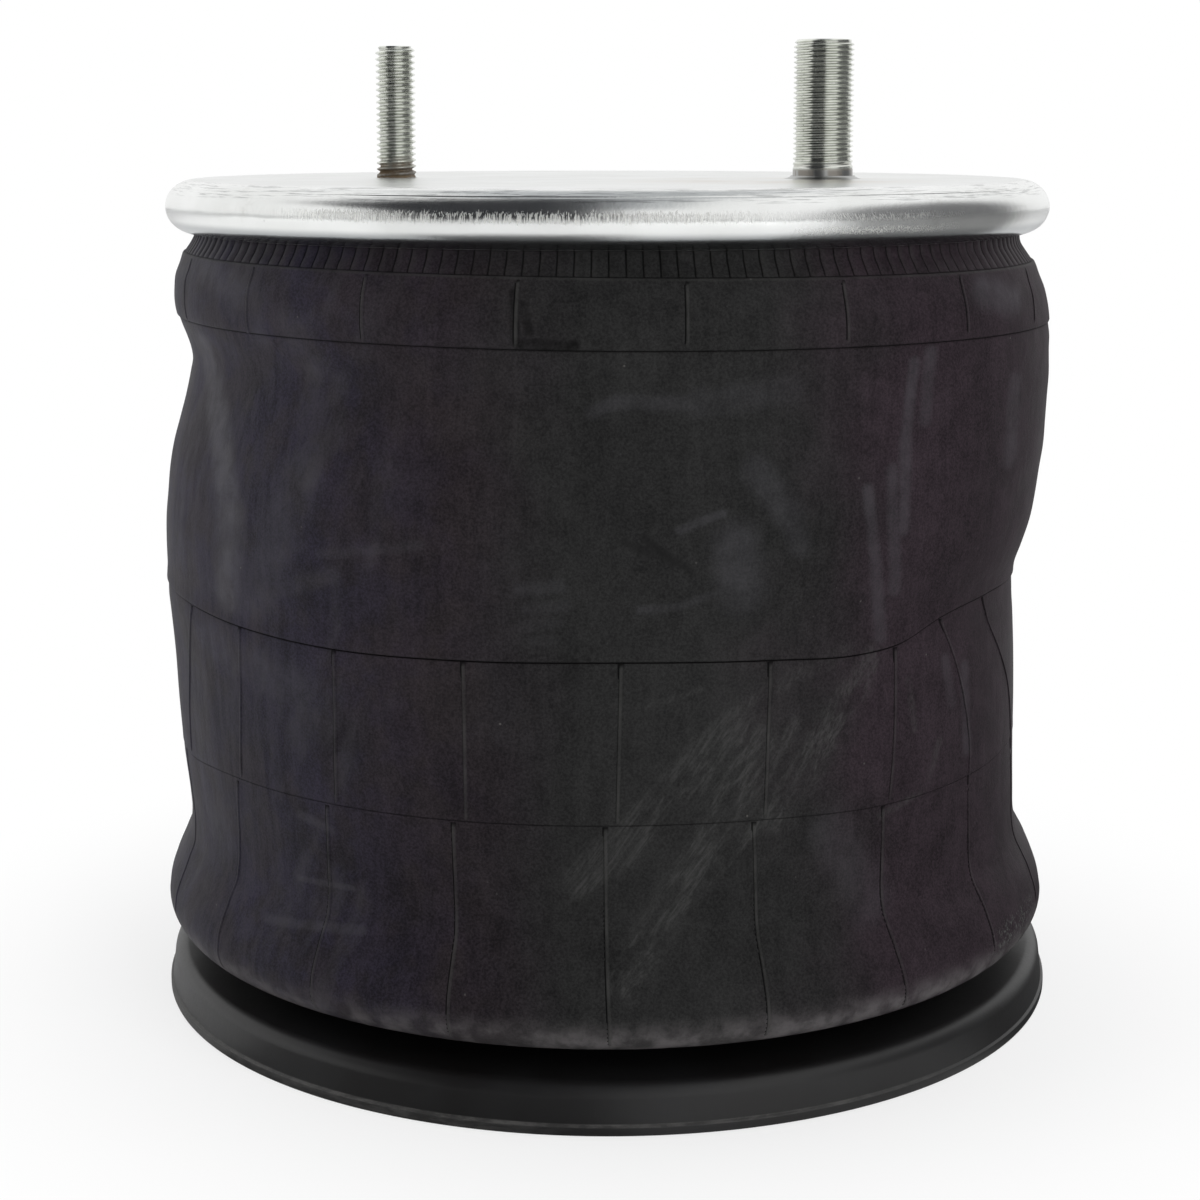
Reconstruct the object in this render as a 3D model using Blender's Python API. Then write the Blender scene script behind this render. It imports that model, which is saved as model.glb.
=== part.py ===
"""Rolling-lobe air suspension spring for a trailer or truck axle.

Units are metres, +Z is up, and the origin is the middle of the piston's base
face. A steel bead plate with two studs is rolled over the upper bead of a
rubber bellows. The bellows hangs down round a moulded piston, folds back on
itself in a lobe just above the piston's flared base, and climbs the piston's
wall to a lower bead that a bolted closure plate clamps on the piston's top.
The bead plate slides along Z over the piston as the spring works.
"""

import math

import bmesh
import bpy
from mathutils import Matrix, Vector

# Fits
GAP = 0.0003  # between touching pieces
SHANK_CLEARANCE = 0.0004  # round a bolt or stud in its hole

# Ride height: base face to the top of the bead plate
RIDE_HEIGHT = 0.2595

# Piston
BASE_RADIUS = 0.1444
LIP_HEIGHT = 0.0028
LIP_STEP = 0.0008
FLANGE_HEIGHT = 0.0140
FLANGE_DRAFT = 0.0008
FLANGE_EDGE_FILLET = 0.0045
FLANGE_ROOT_FILLET = 0.0060
PISTON_DRAFT = 0.0020
PISTON_HEIGHT = 0.0970  # to the seat of the lower bead
SHOULDER_RADIUS = 0.0120
SPIGOT_INSET = 0.0285  # of the spigot inside the bead, from the piston's wall
BASE_RING_WIDTH = 0.0180
UNDERSIDE_RECESS = 0.0010
POCKET_COUNT = 8
POCKET_INNER_RADIUS = 0.0330
POCKET_WALL = 0.0075
RIB_THICKNESS = 0.0056
CROWN_THICKNESS = 0.0330
INSERT_COUNT = 4
INSERT_CIRCLE_RADIUS = 0.0635
INSERT_RADIUS = 0.0095
INSERT_BORE_RADIUS = 0.0054  # tapping size of a half-inch thread
INSERT_LENGTH = 0.0252
BOSS_WALL = 0.0045
BOSS_LENGTH = 0.0340

# Bellows
RUBBER_THICKNESS = 0.0052
NECK_CLEARANCE = 0.0005  # between the neck and the lip of the rim
UPPER_BEAD_RADIUS = 0.0049
UPPER_BEAD_OVERHANG = 0.0005  # of the bead's middle past the neck's outside
LOBE_BOTTOM = 0.0215
LOBE_INSET = 0.0010  # of the lobe from the base's edge
LOBE_WIDTH = 0.0369  # from the piston's wall to the outside of the lobe
LOBE_OUTER_FILLET = 0.0100
LOBE_INNER_FILLET = 0.0140
LOWER_BEAD_WIDTH = 0.0120
LOWER_BEAD_HEIGHT = 0.0100
BEAD_WIRE_RADIUS = 0.0021
BEAD_GROOVE_CLEARANCE = 0.0004
DRAWN_WALL_HEIGHT = 0.2215  # from the lobe's bottom to the rim, in the rows below
# Outer wall, from the neck down: height over the lobe's bottom, bulge past a straight wall,
# and half the difference between its +X and -X sides
BELLOWS_WALL = (
    (0.2171, 0.0018, -0.0006),
    (0.2104, 0.0048, 0.0000),
    (0.2016, 0.0064, 0.0011),
    (0.1896, 0.0050, 0.0034),
    (0.1825, 0.0038, 0.0043),
    (0.1694, 0.0042, 0.0026),
    (0.1524, 0.0049, -0.0002),
    (0.1364, 0.0039, -0.0022),
    (0.1225, 0.0014, -0.0045),
    (0.1105, -0.0005, -0.0055),
    (0.0915, -0.0019, -0.0042),
    (0.0664, -0.0039, -0.0032),
    (0.0425, -0.0062, -0.0017),
    (0.0315, -0.0061, -0.0012),
    (0.0226, -0.0027, -0.0008),
    (0.0151, -0.0001, -0.0008),
)

# Bead plate
PLATE_INSET = 0.0034  # of the plate's edge from the outside of the lobe
PLATE_THICKNESS = 0.0028
RIM_HEIGHT = 0.0165
RIM_ROLL_WIDTH = 0.0090
RIM_TUCK = 0.0087  # of the rim's lip, inside the plate's edge

# Studs, as inch threads: radius of the thread's crest and the height above the plate
STUD_SPACING = 0.1380
STUD_LINE_ANGLE = math.radians(-7.2)
STUD_CHAMFER = 0.0011
MOUNTING_STUD_RADIUS = 0.00635
MOUNTING_STUD_HEIGHT = 0.0420
MOUNTING_STUD_HEAD_RADIUS = 0.0125
AIR_STUD_RADIUS = 0.009525
AIR_STUD_HEIGHT = 0.0435
AIR_STUD_HEAD_RADIUS = 0.0160
AIR_BORE_RADIUS = 0.00556
STUD_HEAD_THICKNESS = 0.0060
WELD_LEG = 0.0030
AIR_COLLAR_WIDTH = 0.0020
AIR_COLLAR_HEIGHT = 0.0010

# Closure of the piston
CLOSURE_OVERLAP = 0.0150  # of the closure past the spigot, over the bead
CLOSURE_THICKNESS = 0.0040
CLOSURE_BEVEL = 0.0012
SEAL_INSET = 0.0170  # of the seal's circle from the spigot's edge
SEAL_SECTION_RADIUS = 0.00215
SEAL_GROOVE_CLEARANCE = 0.0006
BOLT_RADIUS = 0.0095
HEX_ACROSS_FLATS = 0.0286
BOLT_HEAD_HEIGHT = 0.0120
BOLT_END = 0.0300
NUT_HEIGHT = 0.0160
WASHER_RADIUS = 0.0185
WASHER_THICKNESS = 0.0030
NUT_RECESS_RADIUS = 0.0220
NUT_SEAT = 0.0556  # height of the recess's roof

# Bump stop
BUMP_RADIUS = 0.0420
BUMP_FLANGE_RADIUS = 0.0460
BUMP_FLANGE_THICKNESS = 0.0030
BUMP_HEIGHT = 0.0600
BUMP_WAIST_DEPTH = 0.0060
BUMP_TAPER = 0.0050
BUMP_CROWN_RADIUS = 0.0260
BUMP_CROWN_HEIGHT = 0.0040
BUMP_POCKET_RADIUS = 0.0220
BUMP_POCKET_CLEARANCE = 0.0030
BUMP_RING_WIDTH = 0.0060
BUMP_RING_HEIGHT = 0.0066

# Facets round the turned pieces
PLATE_SIDES = 54
SLEEVE_SIDES = 40  # the bellows and the piston that it lies against
INNER_SIDES = 26
SMALL_SIDES = 20
RING_SECTION_SIDES = 6
BUMP_SIDE_STEPS = 7

# Heights and radii that follow from the sizes above
PLATE_UNDERSIDE = RIDE_HEIGHT - PLATE_THICKNESS
RIM_BOTTOM = RIDE_HEIGHT - RIM_HEIGHT
LOBE_RADIUS = BASE_RADIUS - LOBE_INSET
PLATE_RADIUS = LOBE_RADIUS - PLATE_INSET
RIM_LIP_RADIUS = PLATE_RADIUS - RIM_TUCK
NECK_RADIUS = RIM_LIP_RADIUS - NECK_CLEARANCE
PISTON_RADIUS = LOBE_RADIUS - LOBE_WIDTH
SPIGOT_RADIUS = PISTON_RADIUS - SPIGOT_INSET
CLOSURE_RADIUS = SPIGOT_RADIUS + CLOSURE_OVERLAP
SEAL_CIRCLE_RADIUS = SPIGOT_RADIUS - SEAL_INSET
SEAT_Z = PISTON_HEIGHT
SPIGOT_TOP = SEAT_Z + GAP + LOWER_BEAD_HEIGHT
CLOSURE_BOTTOM = SPIGOT_TOP + GAP
CLOSURE_TOP = CLOSURE_BOTTOM + CLOSURE_THICKNESS
WASHER_BOTTOM = CLOSURE_TOP + GAP
BOLT_HEAD_BOTTOM = WASHER_BOTTOM + WASHER_THICKNESS + GAP
BUMP_BOTTOM = CLOSURE_TOP + GAP
POCKET_OUTER_RADIUS = PISTON_RADIUS - PISTON_DRAFT - POCKET_WALL
POCKET_ROOF = PISTON_HEIGHT - CROWN_THICKNESS
SLEEVE_SEAT_RADIUS = PISTON_RADIUS + GAP
UPPER_BEAD_CENTRE = (
    NECK_RADIUS + UPPER_BEAD_OVERHANG,
    PLATE_UNDERSIDE - GAP - UPPER_BEAD_RADIUS,
)


def clear_scene():
    for obj in list(bpy.data.objects):
        bpy.data.objects.remove(obj, do_unlink=True)


def material(name, color, roughness, metallic):
    made = bpy.data.materials.new(name)
    made.use_nodes = True
    made.diffuse_color = (*color, 1.0)
    shader = made.node_tree.nodes["Principled BSDF"]
    shader.inputs["Base Color"].default_value = (*color, 1.0)
    shader.inputs["Roughness"].default_value = roughness
    shader.inputs["Metallic"].default_value = metallic
    return made


def add_object(name, bm, finish, parent=None, place=(0.0, 0.0, 0.0)):
    """Turn the bmesh into a named object, with round faces shaded smooth."""
    bmesh.ops.recalc_face_normals(bm, faces=bm.faces)
    mesh = bpy.data.meshes.new(name)
    bm.to_mesh(mesh)
    bm.free()
    obj = bpy.data.objects.new(name, mesh)
    bpy.context.scene.collection.objects.link(obj)
    obj.location = place
    if finish is not None:
        mesh.materials.append(finish)
        mesh.shade_smooth()
        mesh.set_sharp_from_angle(angle=math.radians(35))
    if parent is not None:
        obj.parent = parent
        obj.matrix_parent_inverse = parent.matrix_world.inverted()
    return obj


def turned(profile, sides):
    """A closed profile of (radius, height) spun about Z; radius 0 lies on the axis."""
    bm = bmesh.new()
    points = [bm.verts.new((radius, 0.0, height)) for radius, height in profile]
    ends_on_axis = profile[0][0] == 0.0 and profile[-1][0] == 0.0
    followers = points[1:] if ends_on_axis else points[1:] + points[:1]
    edges = [bm.edges.new(pair) for pair in zip(points, followers)]
    bmesh.ops.spin(
        bm,
        geom=points + edges,
        cent=(0.0, 0.0, 0.0),
        axis=(0.0, 0.0, 1.0),
        angle=2 * math.pi,
        steps=sides,
        use_merge=True,
    )
    bmesh.ops.remove_doubles(bm, verts=bm.verts, dist=1e-6)
    return bm


def arc(centre, radius, start, end, count, squash=1.0):
    """Points of an arc in the (radius, height) plane, angles in degrees from +X."""
    points = []
    for i in range(count + 1):
        angle = math.radians(start + (end - start) * i / count)
        points.append(
            (centre[0] + radius * math.cos(angle), centre[1] + squash * radius * math.sin(angle))
        )
    return points


def disc(radius, bottom, top, sides, place=(0.0, 0.0)):
    """A plain round cutter or boss."""
    bm = bmesh.new()
    bmesh.ops.create_cone(
        bm,
        cap_ends=True,
        segments=sides,
        radius1=radius,
        radius2=radius,
        depth=top - bottom,
        matrix=Matrix.Translation((*place, (top + bottom) / 2)),
    )
    return bm


def apply_cutter(obj, bm, operation, label):
    """Keep the tool as a hidden wire object, and combine it with the piece."""
    tool = add_object(f"{obj.name}_{label}_tool", bm, None, obj.parent)
    tool.hide_render = True
    tool.display_type = "WIRE"
    combine = obj.modifiers.new(label, "BOOLEAN")
    combine.operation = operation
    combine.object = tool


def stud_place(side):
    """Where a stud stands on the plate: side -1 for the plain stud, +1 for the air stud."""
    reach = side * STUD_SPACING / 2
    return reach * math.cos(STUD_LINE_ANGLE), reach * math.sin(STUD_LINE_ANGLE)


def wall_point(drawn_height, bulge):
    """(radius, height) on the bellows' outer wall, the drawn height stretched to the rim."""
    share = drawn_height / DRAWN_WALL_HEIGHT
    radius = LOBE_RADIUS + share * (NECK_RADIUS - LOBE_RADIUS) + bulge
    return radius, LOBE_BOTTOM + share * (RIM_BOTTOM - LOBE_BOTTOM)


def side_difference(height):
    """How far the +X side stands out at this height, with the -X side as far in."""
    drawn = DRAWN_WALL_HEIGHT * (height - LOBE_BOTTOM) / (RIM_BOTTOM - LOBE_BOTTOM)
    rows = ((DRAWN_WALL_HEIGHT, 0.0, 0.0),) + BELLOWS_WALL
    for above, below in zip(rows, rows[1:]):
        if drawn >= below[0]:
            part = min(1.0, (above[0] - drawn) / (above[0] - below[0]))
            return above[2] + part * (below[2] - above[2])
    return rows[-1][2]


def offset(points, distance):
    """The polyline moved sideways, to the right of its direction of travel."""
    moved = []
    for i, (radius, height) in enumerate(points):
        before = points[max(i - 1, 0)]
        after = points[min(i + 1, len(points) - 1)]
        run = Vector((after[0] - before[0], after[1] - before[1])).normalized()
        moved.append((radius + distance * run.y, height - distance * run.x))
    return moved


def bellows_profile():
    """The rubber's section: down the outer wall, round the lobe and up to the lower bead."""
    bead_x, bead_z = UPPER_BEAD_CENTRE
    groove_half = BEAD_WIRE_RADIUS + BEAD_GROOVE_CLEARANCE
    groove_floor = bead_z
    over_bead = arc(UPPER_BEAD_CENTRE, UPPER_BEAD_RADIUS, 40, -70, 4)
    groove_mouth = bead_z + math.sqrt(UPPER_BEAD_RADIUS**2 - groove_half**2)
    groove = [
        (bead_x - groove_half, groove_mouth),
        (bead_x - groove_half, groove_floor),
        (bead_x + groove_half, groove_floor),
        (bead_x + groove_half, groove_mouth),
    ]
    neck = [(NECK_RADIUS, RIM_BOTTOM + PLATE_THICKNESS + GAP), (NECK_RADIUS, RIM_BOTTOM - GAP)]
    wall = [wall_point(drawn_height, bulge) for drawn_height, bulge, _ in BELLOWS_WALL]
    outer_corner = arc(
        (LOBE_RADIUS - LOBE_OUTER_FILLET, LOBE_BOTTOM + LOBE_OUTER_FILLET),
        LOBE_OUTER_FILLET, 0, -90, 4,
    )
    inner_corner = arc(
        (SLEEVE_SEAT_RADIUS + LOBE_INNER_FILLET, LOBE_BOTTOM + LOBE_INNER_FILLET),
        LOBE_INNER_FILLET, -90, -180, 4,
    )
    wall_top = PISTON_RADIUS - PISTON_DRAFT + GAP
    shoulder = arc(
        (wall_top - SHOULDER_RADIUS - GAP, SEAT_Z - SHOULDER_RADIUS),
        SHOULDER_RADIUS + GAP, 0, 90, 4,
    )
    sleeve = neck + wall + outer_corner + inner_corner + shoulder
    air_side = offset(sleeve, RUBBER_THICKNESS)[::-3]

    bead_inner = SPIGOT_RADIUS + GAP
    bead_outer = bead_inner + LOWER_BEAD_WIDTH
    wire_x = lower_wire_radius()
    wire_room = 2 * groove_half
    lower_bead = [
        (wire_x + groove_half, SEAT_Z + GAP),
        (wire_x + groove_half, SEAT_Z + GAP + wire_room),
        (wire_x - groove_half, SEAT_Z + GAP + wire_room),
        (wire_x - groove_half, SEAT_Z + GAP),
        (bead_inner, SEAT_Z + GAP),
        (bead_inner, SPIGOT_TOP),
        (bead_outer, SPIGOT_TOP),
    ]
    return groove + over_bead + sleeve + lower_bead + air_side


def lower_wire_radius():
    return SPIGOT_RADIUS + GAP + LOWER_BEAD_WIDTH / 2


def make_bellows(rubber, parent):
    bm = turned(bellows_profile(), SLEEVE_SIDES)
    lobe_middle = (SLEEVE_SEAT_RADIUS + LOBE_RADIUS) / 2
    for vert in bm.verts:
        radius = math.hypot(vert.co.x, vert.co.y)
        on_piston = radius < lobe_middle and vert.co.z < CLOSURE_BOTTOM
        if on_piston or vert.co.z > RIM_BOTTOM:
            continue
        moved = radius + side_difference(vert.co.z) * vert.co.x / radius
        vert.co.x *= moved / radius
        vert.co.y *= moved / radius
    return add_object("bellows", bm, rubber, parent)


def bead_plate_profile():
    """Flat sheet, its edge rolled down and in under the bead."""
    roll_height = RIM_HEIGHT / 2
    centre = (PLATE_RADIUS - RIM_ROLL_WIDTH, RIDE_HEIGHT - roll_height)
    squash = roll_height / RIM_ROLL_WIDTH
    outside = arc(centre, RIM_ROLL_WIDTH, 90, -90, 10, squash)
    inner_width = RIM_ROLL_WIDTH - PLATE_THICKNESS
    inner_squash = (roll_height - PLATE_THICKNESS) / inner_width
    inside = arc(centre, inner_width, -90, 90, 6, inner_squash)
    outside[-1] = (RIM_LIP_RADIUS, RIM_BOTTOM)
    inside[0] = (RIM_LIP_RADIUS, RIM_BOTTOM + PLATE_THICKNESS)
    return [(0.0, RIDE_HEIGHT)] + outside + inside + [(0.0, PLATE_UNDERSIDE)]


def make_bead_plate(zinc, parent):
    plate = add_object("upper_bead_plate", turned(bead_plate_profile(), PLATE_SIDES), zinc, parent)
    for side, radius, label in (
        (-1, MOUNTING_STUD_RADIUS + SHANK_CLEARANCE, "mounting_stud_hole"),
        (1, air_collar_radius() + GAP, "air_stud_hole"),
    ):
        hole = disc(
            radius,
            PLATE_UNDERSIDE - PLATE_THICKNESS,
            RIDE_HEIGHT + PLATE_THICKNESS,
            SMALL_SIDES,
            stud_place(side),
        )
        apply_cutter(plate, hole, "DIFFERENCE", label)
    return plate


def stud_profile(radius, height, head_radius, bore_radius):
    """A headed stud pressed up through the plate from inside."""
    top = RIDE_HEIGHT + height
    head_top = PLATE_UNDERSIDE - GAP
    head_bottom = head_top - STUD_HEAD_THICKNESS
    outside = [
        (radius - STUD_CHAMFER, top),
        (radius, top - STUD_CHAMFER),
        (radius, head_top),
        (head_radius, head_top),
        (head_radius, head_bottom),
    ]
    return [(bore_radius, top)] + outside + [(bore_radius, head_bottom)]


def weld_profile(head_radius):
    inner = head_radius + GAP
    top = PLATE_UNDERSIDE - GAP
    return [(inner, top), (inner + WELD_LEG, top), (inner, top - WELD_LEG)]


def air_collar_radius():
    return AIR_STUD_RADIUS + SHANK_CLEARANCE + AIR_COLLAR_WIDTH


def make_studs(steel, weld, parent):
    for side, name, radius, height, head_radius, bore in (
        (-1, "mounting_stud", MOUNTING_STUD_RADIUS, MOUNTING_STUD_HEIGHT,
         MOUNTING_STUD_HEAD_RADIUS, 0.0),
        (1, "air_stud", AIR_STUD_RADIUS, AIR_STUD_HEIGHT, AIR_STUD_HEAD_RADIUS, AIR_BORE_RADIUS),
    ):
        place = (*stud_place(side), 0.0)
        profile = stud_profile(radius, height, head_radius, bore)
        add_object(name, turned(profile, SMALL_SIDES), steel, parent, place)
        ring = turned(weld_profile(head_radius), SMALL_SIDES)
        add_object(f"{name}_weld", ring, weld, parent, place)
    inner = AIR_STUD_RADIUS + SHANK_CLEARANCE
    top = RIDE_HEIGHT + AIR_COLLAR_HEIGHT
    collar = [
        (inner, top),
        (inner + AIR_COLLAR_WIDTH / 2, top),
        (air_collar_radius(), RIDE_HEIGHT),
        (air_collar_radius(), PLATE_UNDERSIDE),
        (inner, PLATE_UNDERSIDE),
    ]
    place = (*stud_place(1), 0.0)
    add_object("air_stud_collar", turned(collar, SMALL_SIDES), steel, parent, place)


def make_ring(name, circle_radius, height, section_radius, sides, finish, parent):
    """A round-section ring, such as a bead wire bundle or a seal."""
    profile = arc((circle_radius, height), section_radius, 30, -330, RING_SECTION_SIDES)[:-1]
    return add_object(name, turned(profile, sides), finish, parent)


def piston_profile():
    """Crown with its seal groove and bead seat, drafted wall, flared base and contact ring."""
    wall_top = PISTON_RADIUS - PISTON_DRAFT
    groove_half = SEAL_SECTION_RADIUS + SEAL_GROOVE_CLEARANCE
    groove_floor = SPIGOT_TOP - 2 * SEAL_SECTION_RADIUS - GAP
    crown = [
        (0.0, SPIGOT_TOP),
        (SEAL_CIRCLE_RADIUS - groove_half, SPIGOT_TOP),
        (SEAL_CIRCLE_RADIUS - groove_half, groove_floor),
        (SEAL_CIRCLE_RADIUS + groove_half, groove_floor),
        (SEAL_CIRCLE_RADIUS + groove_half, SPIGOT_TOP),
        (SPIGOT_RADIUS, SPIGOT_TOP),
        (SPIGOT_RADIUS, SEAT_Z),
    ]
    shoulder = arc(
        (wall_top - SHOULDER_RADIUS, SEAT_Z - SHOULDER_RADIUS), SHOULDER_RADIUS, 90, 0, 4
    )
    root = arc(
        (PISTON_RADIUS + FLANGE_ROOT_FILLET, FLANGE_HEIGHT + FLANGE_ROOT_FILLET),
        FLANGE_ROOT_FILLET, 180, 270, 3,
    )
    wall_radius = BASE_RADIUS - LIP_STEP
    edge = arc(
        (wall_radius - FLANGE_DRAFT - FLANGE_EDGE_FILLET, FLANGE_HEIGHT - FLANGE_EDGE_FILLET),
        FLANGE_EDGE_FILLET, 90, 0, 4,
    )
    foot = [
        (wall_radius, LIP_HEIGHT),
        (BASE_RADIUS, LIP_HEIGHT - LIP_STEP / 2),
        (BASE_RADIUS, 0.0),
        (BASE_RADIUS - BASE_RING_WIDTH, 0.0),
        (BASE_RADIUS - BASE_RING_WIDTH, UNDERSIDE_RECESS),
        (0.0, UNDERSIDE_RECESS),
    ]
    return crown + shoulder + root + edge + foot


def pocket_tool():
    """The moulded pockets between the radial ribs, as one tool of separate wedges."""
    bm = bmesh.new()
    pitch = 2 * math.pi / POCKET_COUNT
    for index in range(POCKET_COUNT):
        middle = pitch * (index + 0.5)
        outline = []
        for radius, steps, direction in (
            (POCKET_INNER_RADIUS, 3, 1), (POCKET_OUTER_RADIUS, 6, -1)
        ):
            half = pitch / 2 - math.asin(RIB_THICKNESS / 2 / radius)
            for i in range(steps + 1):
                angle = middle - direction * half * (1 - 2 * i / steps)
                outline.append((radius * math.cos(angle), radius * math.sin(angle)))
        floor = bm.faces.new([bm.verts.new((x, y, -UNDERSIDE_RECESS)) for x, y in outline])
        raised = bmesh.ops.extrude_face_region(bm, geom=[floor])
        top = [item for item in raised["geom"] if isinstance(item, bmesh.types.BMVert)]
        bmesh.ops.translate(bm, vec=(0.0, 0.0, POCKET_ROOF + UNDERSIDE_RECESS), verts=top)
    return bm


def insert_places():
    """Centres of the threaded inserts, each on a rib of the underside."""
    for index in range(INSERT_COUNT):
        angle = 2 * math.pi * index / INSERT_COUNT
        yield INSERT_CIRCLE_RADIUS * math.cos(angle), INSERT_CIRCLE_RADIUS * math.sin(angle)


def joined(parts):
    """One bmesh from several."""
    whole = bmesh.new()
    for part in parts:
        mesh = bpy.data.meshes.new("joined")
        part.to_mesh(mesh)
        part.free()
        whole.from_mesh(mesh)
        bpy.data.meshes.remove(mesh)
    return whole


def make_piston(composite, parent):
    piston = add_object("piston_body", turned(piston_profile(), SLEEVE_SIDES), composite, parent)
    apply_cutter(piston, pocket_tool(), "DIFFERENCE", "pockets")
    boss_radius = INSERT_RADIUS + GAP + BOSS_WALL
    bosses = [disc(boss_radius, 0.0, BOSS_LENGTH, SMALL_SIDES, place) for place in insert_places()]
    apply_cutter(piston, joined(bosses), "UNION", "bosses")
    bores = [
        disc(INSERT_RADIUS + GAP, -GAP, INSERT_LENGTH + GAP, SMALL_SIDES, place)
        for place in insert_places()
    ]
    apply_cutter(piston, joined(bores), "DIFFERENCE", "insert_bores")
    recess = disc(NUT_RECESS_RADIUS, -GAP, NUT_SEAT, SMALL_SIDES)
    apply_cutter(piston, recess, "DIFFERENCE", "nut_recess")
    bolt_hole = disc(BOLT_RADIUS + SHANK_CLEARANCE, NUT_SEAT - GAP, SPIGOT_TOP + GAP, SMALL_SIDES)
    apply_cutter(piston, bolt_hole, "DIFFERENCE", "bolt_hole")
    return piston


def make_inserts(steel, parent):
    """Threaded inserts for the bolts of the axle seat, flush with their bosses."""
    profile = [
        (INSERT_BORE_RADIUS, INSERT_LENGTH),
        (INSERT_RADIUS, INSERT_LENGTH),
        (INSERT_RADIUS, 0.0),
        (INSERT_BORE_RADIUS, 0.0),
    ]
    for number, (x, y) in enumerate(insert_places(), start=1):
        name = f"base_insert_{number}"
        add_object(name, turned(profile, SMALL_SIDES), steel, parent, (x, y, 0.0))


def make_closure(steel, parent):
    hole = BOLT_RADIUS + SHANK_CLEARANCE
    profile = [
        (hole, CLOSURE_TOP),
        (CLOSURE_RADIUS - CLOSURE_BEVEL, CLOSURE_TOP),
        (CLOSURE_RADIUS, CLOSURE_TOP - CLOSURE_BEVEL),
        (CLOSURE_RADIUS, CLOSURE_BOTTOM),
        (hole, CLOSURE_BOTTOM),
    ]
    return add_object("lower_bead_plate", turned(profile, INNER_SIDES), steel, parent)


def make_washer(name, bottom, steel, parent):
    inner = BOLT_RADIUS + SHANK_CLEARANCE
    top = bottom + WASHER_THICKNESS
    profile = [(inner, top), (WASHER_RADIUS, top), (WASHER_RADIUS, bottom), (inner, bottom)]
    return add_object(name, turned(profile, SMALL_SIDES), steel, parent)


def hex_prism(bottom, top):
    bm = bmesh.new()
    corner_radius = HEX_ACROSS_FLATS / 2 / math.cos(math.pi / 6)
    bmesh.ops.create_cone(
        bm,
        cap_ends=True,
        segments=6,
        radius1=corner_radius,
        radius2=corner_radius,
        depth=top - bottom,
        matrix=Matrix.Translation((0.0, 0.0, (top + bottom) / 2)),
    )
    return bm


def make_bolt(steel, parent):
    head_top = BOLT_HEAD_BOTTOM + BOLT_HEAD_HEIGHT
    bolt = add_object("piston_bolt", hex_prism(BOLT_HEAD_BOTTOM, head_top), steel, parent)
    shank = disc(BOLT_RADIUS, BOLT_END, BOLT_HEAD_BOTTOM + BOLT_HEAD_HEIGHT / 2, SMALL_SIDES)
    apply_cutter(bolt, shank, "UNION", "shank")
    nut_top = NUT_SEAT - 2 * GAP - WASHER_THICKNESS
    nut = add_object("piston_nut", hex_prism(nut_top - NUT_HEIGHT, nut_top), steel, parent)
    thread = disc(
        BOLT_RADIUS + SHANK_CLEARANCE, nut_top - NUT_HEIGHT - GAP, nut_top + GAP, SMALL_SIDES
    )
    apply_cutter(nut, thread, "DIFFERENCE", "thread")


def bump_stop_profile():
    """A waisted rubber buffer, hollow underneath to clear the bolt's head."""
    top = BUMP_BOTTOM + BUMP_HEIGHT
    pocket_roof = BOLT_HEAD_BOTTOM + BOLT_HEAD_HEIGHT + BUMP_POCKET_CLEARANCE
    body_bottom = BUMP_BOTTOM + BUMP_RING_HEIGHT + GAP
    crown_bottom = top - BUMP_CROWN_HEIGHT
    outside = [(0.0, top), (BUMP_CROWN_RADIUS, top)]
    for i in range(BUMP_SIDE_STEPS + 1):
        share = i / BUMP_SIDE_STEPS
        waist = BUMP_WAIST_DEPTH * math.sin(math.pi * share) ** 2
        taper = BUMP_TAPER * (1 - share) ** 2
        height = crown_bottom + (body_bottom - crown_bottom) * share
        outside.append((BUMP_RADIUS - waist - taper, height))
    flange_top = BUMP_BOTTOM + BUMP_FLANGE_THICKNESS
    outside += [
        (BUMP_RADIUS, flange_top),
        (BUMP_FLANGE_RADIUS, flange_top),
        (BUMP_FLANGE_RADIUS, BUMP_BOTTOM),
        (BUMP_POCKET_RADIUS, BUMP_BOTTOM),
        (BUMP_POCKET_RADIUS, pocket_roof),
        (0.0, pocket_roof),
    ]
    return outside


def make_bump_stop(rubber, composite, parent):
    add_object("bump_stop", turned(bump_stop_profile(), INNER_SIDES), rubber, parent)
    over_flange = BUMP_BOTTOM + BUMP_FLANGE_THICKNESS + GAP
    outer = BUMP_FLANGE_RADIUS + BUMP_RING_WIDTH
    ring_top = BUMP_BOTTOM + BUMP_RING_HEIGHT
    profile = [
        (BUMP_RADIUS + GAP, ring_top),
        (outer - GAP, ring_top),
        (outer, ring_top - GAP),
        (outer, BUMP_BOTTOM),
        (BUMP_FLANGE_RADIUS + GAP, BUMP_BOTTOM),
        (BUMP_FLANGE_RADIUS + GAP, over_flange),
        (BUMP_RADIUS + GAP, over_flange),
    ]
    add_object("bump_stop_ring", turned(profile, INNER_SIDES), composite, parent)


def carrier(name, height):
    """An empty on the slide's axis that carries the pieces of one moving body."""
    empty = bpy.data.objects.new(name, None)
    empty.location = (0.0, 0.0, height)
    bpy.context.scene.collection.objects.link(empty)
    bpy.context.view_layer.update()
    return empty


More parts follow.
